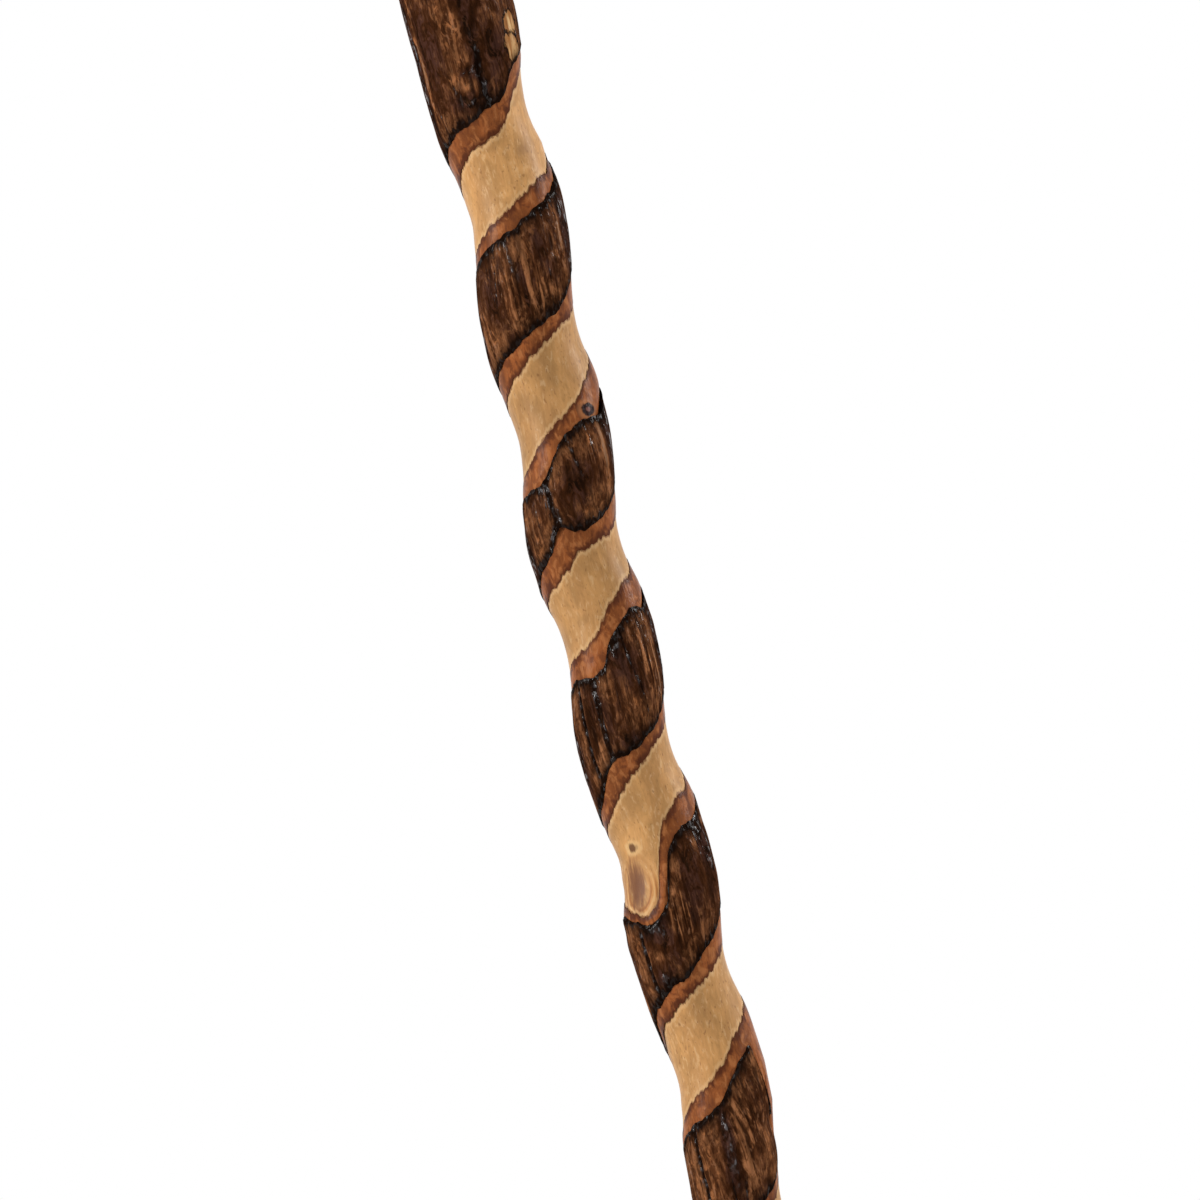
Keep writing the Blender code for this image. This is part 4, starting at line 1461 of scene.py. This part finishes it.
def bark_relief(strip):
    """How far the bark lies below its smooth shape, and values for its finish."""
    sizes = bpy.context.scene.cane_sizes
    place = on_stick(strip.turn + 0 * strip.height, np.full(strip.height.shape, BARK_RADIUS), strip.height)
    swell = noise_at(place, *SWELLS) * SWELL_HEIGHT
    ridges = noise_at(place, *RIDGES) + 0.5 * noise_at(place, *FINE_RIDGES)
    lines = np.abs(noise_at(place, *CRACKS))
    cracked = eased(noise_at(place, *CRACKED_AREAS) * 2.0 + 0.20)
    furrow = (1 - eased(lines / 0.10)) * cracked * 0.7
    depth = furrow * sizes.furrow_depth
    stray = noise_at(place, *STRAYING) * STRAY_REACH
    for low_side, low, high_side, high, half_width, deep in FURROWS:
        along = (strip.height - low) / (high - low)
        side = low_side + (high_side - low_side) * np.clip(along, 0, 1)
        around = beside(strip, side) + stray
        beyond = (strip.height - np.clip(strip.height, low, high)) / FURROW_TAPER
        share = 1 - eased(np.hypot(around, beyond) / (2 * half_width * MM))
        depth = np.maximum(depth, share * deep * MM)
        furrow = np.maximum(furrow, share)
    relief = swell + ridges * sizes.ridge_height + depth
    lined = np.max([patch_share(strip, *patch) for patch in LINED], axis=0)
    tone = bark_tone(strip, place)
    return relief, {"furrow": furrow, "relief": 0.5 + 0.5 * ridges, "tone": tone, "lined": lined}


def rounded(outline, radius):
    """An outline with its corners rounded off."""
    points = [Vector(point) for point in outline]
    curve = [points[0]]
    for before, corner, after in zip(points, points[1:], points[2:]):
        reach = min(radius, *(0.45 * (near - corner).length for near in (before, after)))
        start = corner + (before - corner).normalized() * reach
        end = corner + (after - corner).normalized() * reach
        for i in range(CORNER_STEPS + 1):
            share = i / CORNER_STEPS
            curve.append(start * (1 - share) ** 2 + corner * 2 * share * (1 - share) + end * share**2)
    curve.append(points[-1])
    return curve


def turned(name, outline, sides, closed=False):
    """A mesh turned from an outline of radius and height."""
    shape = bmesh.new()
    verts = [shape.verts.new((radius, 0, height)) for radius, height in outline]
    pairs = list(zip(verts, verts[1:]))
    if closed:
        pairs.append((verts[-1], verts[0]))
    edges = [shape.edges.new(pair) for pair in pairs]
    bmesh.ops.spin(shape, geom=verts + edges, axis=(0, 0, 1), cent=(0, 0, 0), angle=math.tau, steps=sides)
    mesh = bpy.data.meshes.new(name)
    closed_up(shape, mesh, TURNING_MERGE)
    smooth_shaded(mesh, TURNING_ANGLE)
    return mesh


def shaped(name, mesh, modifiers, helper):
    """The mesh that some modifiers make of another one. A boolean works with the helper."""
    piece, tool = placed(name, mesh), placed(name, helper)
    for kind, values in modifiers:
        modifier = piece.modifiers.new(kind, kind)
        if kind == "BOOLEAN":
            modifier.object = tool
        for key, value in values.items():
            setattr(modifier, key, value)
    made = bpy.data.meshes.new_from_object(piece.evaluated_get(bpy.context.evaluated_depsgraph_get()))
    for each in (piece, tool):
        bpy.data.objects.remove(each)
    made.name = name
    return made


class CANE_OT_collar(bpy.types.Operator):
    """Turned brass collar between the stick and the handle"""

    bl_idname = "cane.collar"
    bl_label = "Collar"

    def execute(self, context):
        edge = COLLAR_RADIUS - COLLAR_BEAD
        third = (COLLAR_TOP - COLLAR_BOTTOM) / 3
        half = [(COLLAR_BORE, third / 2), (COLLAR_BORE, 0.0), (edge, 0.0)]
        half += [(edge, third - COLLAR_BEAD), (COLLAR_RADIUS, third), (COLLAR_RADIUS, 1.5 * third)]
        middle = (COLLAR_TOP + COLLAR_BOTTOM) / 2
        outline = [(radius, COLLAR_BOTTOM + up) for radius, up in half]
        outline += [(radius, 2 * middle - height) for radius, height in reversed(outline[:-1])]
        mesh = turned("brass_collar", rounded(outline, COLLAR_ROUNDING), 128, closed=True)
        colour = context.scene.cane_colours.brass
        finish = turned_metal_finish("collar_brass", colour, 0.00012, (0.42, 0.24, 0.09))
        dressed("brass_collar", mesh, finish, "collar")
        return {"FINISHED"}


def grip_shape():
    """The handle's grip: a fine skin over its sections."""
    shape = bmesh.new()
    angles = math.tau * np.arange(GRIP_SIDES) / GRIP_SIDES
    circle = np.cos(angles), np.sin(angles)
    across, up = (np.sign(part) * np.abs(part) ** (2 / GRIP_SQUARENESS) for part in circle)
    where = np.linspace(GRIP_SECTIONS[0][0], GRIP_SECTIONS[-1][0], GRIP_STATIONS)
    rings = []
    for x, (middle, half_height, half_width) in zip(where, curve_between(GRIP_SECTIONS, where)):
        ring = zip(half_width * across, middle + half_height * up)
        rings.append([shape.verts.new((x, y, z)) for y, z in ring])
    for first, second in zip(rings, rings[1:]):
        for i in range(GRIP_SIDES):
            j = (i + 1) % GRIP_SIDES
            shape.faces.new((first[i], first[j], second[j], second[i]))
    for ring in (rings[0], rings[-1]):
        shape.faces.new(ring)
    mesh = bpy.data.meshes.new("grip")
    closed_up(shape, mesh, 0)
    return mesh


class CANE_OT_handle(bpy.types.Operator):
    """Wooden handle with its neck, bored for the stick's tenon, the screw and the plug"""

    bl_idname = "cane.handle"
    bl_label = "Handle"

    def execute(self, context):
        neck = [(radius, NECK_BOTTOM + up) for radius, up in NECK_OUTLINE]
        neck.append((0.0, neck[-1][1]))
        skin = {"mode": "VOXEL", "voxel_size": context.scene.cane_sizes.grip_voxel}
        softening = {"factor": 0.6, "iterations": 9}
        joining = (
            ("BOOLEAN", {"operation": "UNION", "solver": "EXACT"}),
            ("REMESH", skin),
            ("SMOOTH", softening),
        )
        boring = (("BOOLEAN", {"operation": "DIFFERENCE", "solver": "EXACT"}),)
        whole = shaped("grip", grip_shape(), joining, turned("neck", neck, 96))
        mesh = shaped("wooden_handle", whole, boring, turned("bores", HANDLE_BORES, 96))
        smooth_shaded(mesh, HANDLE_ANGLE)
        finish = handle_finish("handle_wood", context.scene.cane_colours.handle, 0, GRIP_HEART)
        dressed("wooden_handle", mesh, finish, "handle")
        return {"FINISHED"}


class CANE_OT_plug(bpy.types.Operator):
    """Wooden plug over the screw, with its slightly domed top"""

    bl_idname = "cane.plug"
    bl_label = "Plug"

    def execute(self, context):
        mesh = turned("wooden_plug", rounded(PLUG_OUTLINE, PLUG_ROUNDING), 96)
        finish = handle_finish("plug_wood", context.scene.cane_colours.plug, 2, PLUG_HEART)
        dressed("wooden_plug", mesh, finish, "handle_plug")
        return {"FINISHED"}


class CANE_OT_fixings(bpy.types.Operator):
    """Finish of the screw and the two washers"""

    bl_idname = "cane.fixings"
    bl_label = "Screw and Washers"

    def execute(self, context):
        colour = context.scene.cane_colours.steel
        finish = turned_metal_finish("bare_steel", colour, 0.0002, (0.26, 0.25, 0.24))
        for node in ("handle_screw", "screw_washer", "tip_washer"):
            for place in frame["nodes"][node].material_slots:
                place.material = finish
        return {"FINISHED"}


class CANE_OT_tip(bpy.types.Operator):
    """Rubber tip with its ribbed waist and grooved tread"""

    bl_idname = "cane.tip"
    bl_label = "Rubber Tip"

    def execute(self, context):
        outline = list(TIP_OUTLINE)
        for outer, inner in TIP_TREADS:
            outline += [(outer, 0.0), (outer, TREAD_DEPTH), (inner, TREAD_DEPTH), (inner, 0.0)]
        outline.append((0.0, 0.0))
        mesh = turned("rubber_tip_moulding", rounded(outline, TIP_ROUNDING), 144)
        finish = rubber_finish(context.scene.cane_colours.rubber)
        dressed("rubber_tip_moulding", mesh, finish, "rubber_tip")
        return {"FINISHED"}


def soft_light(name, location, width, height, watts):
    """A softbox that is aimed at the middle of the cane."""
    light = bpy.data.lights.new(name, "AREA")
    light.shape = "RECTANGLE"
    light.size = width
    light.size_y = height
    light.energy = watts
    back = Vector(location) - Vector(LIGHTS_TARGET)
    facing = back.to_track_quat("Z", "Y").to_matrix().to_4x4()
    placed(name, light).matrix_world = Matrix.Translation(location) @ facing


def white_world(context):
    """A world that shows white, and lights the cane far less than that."""
    world = bpy.data.worlds.new("studio")
    world.use_nodes = True
    context.scene.world = world
    tree = world.node_tree
    strength = tree.nodes.new("ShaderNodeMapRange")
    strength.inputs["To Min"].default_value = SKY_STRENGTH
    strength.inputs["To Max"].default_value = 1.0
    tree.links.new(background_rays(tree), strength.inputs["Value"])
    background = tree.nodes["Background"]
    background.inputs["Color"].default_value = (1, 1, 1, 1)
    tree.links.new(strength.outputs["Result"], background.inputs["Strength"])


class CANE_OT_stage(bpy.types.Operator):
    """Camera, lights, pale floor and white background"""

    bl_idname = "cane.stage"
    bl_label = "Studio"

    def execute(self, context):
        camera = bpy.data.cameras.new("camera")
        camera.lens = LENS_MM
        camera.sensor_width = SENSOR_MM
        camera.clip_end = SIGHT
        distance = WIDTH_SEEN / SENSOR_MM * LENS_MM
        holder = placed("camera", camera)
        holder.matrix_world = (
            Matrix.Translation(Vector(VIEW_TARGET) + Vector((0, -distance, 0)))
            @ Matrix.Rotation(math.radians(90), 4, "X")
            @ Matrix.Rotation(math.radians(-LEAN), 4, "Z")
        )
        context.scene.camera = holder
        for light in LIGHTS:
            soft_light(*light)
        white_world(context)

        shape = bmesh.new()
        bmesh.ops.create_circle(shape, cap_ends=True, segments=96, radius=FLOOR_RADIUS)
        mesh = bpy.data.meshes.new("floor")
        shape.to_mesh(mesh)
        shape.free()
        mesh.materials.append(floor_finish())
        floor = placed("floor", mesh)
        # The tip stands on the floor, also when the stick is drawn out of it
        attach(floor, "tip")
        context.scene.view_settings.view_transform = "Standard"
        return {"FINISHED"}


class CANE_PT_panel(bpy.types.Panel):
    """Sizes and colours of the cane, and a button for each of its pieces"""

    bl_idname = "CANE_PT_panel"
    bl_label = "Walking Cane"
    bl_space_type = "VIEW_3D"
    bl_region_type = "UI"
    bl_category = "Cane"

    def draw(self, context):
        for group in (context.scene.cane_sizes, context.scene.cane_colours):
            for key in type(group).__annotations__:
                self.layout.prop(group, key)
        for operator in OPERATORS:
            self.layout.operator(operator.bl_idname)


OPERATORS = (
    CANE_OT_wood,
    CANE_OT_inner_bark,
    CANE_OT_outer_bark,
    CANE_OT_collar,
    CANE_OT_handle,
    CANE_OT_plug,
    CANE_OT_fixings,
    CANE_OT_tip,
    CANE_OT_stage,
)
CLASSES = (CaneSizes, CaneColours, *OPERATORS, CANE_PT_panel)


def register():
    for each in CLASSES:
        bpy.utils.register_class(each)
    bpy.types.Scene.cane_sizes = PointerProperty(type=CaneSizes)
    bpy.types.Scene.cane_colours = PointerProperty(type=CaneColours)


def unregister():
    del bpy.types.Scene.cane_colours
    del bpy.types.Scene.cane_sizes
    for each in reversed(CLASSES):
        bpy.utils.unregister_class(each)


def main():
    register()
    for operator in OPERATORS:
        group, name = operator.bl_idname.split(".")
        getattr(getattr(bpy.ops, group), name)()


if __name__ == "__main__":
    main()
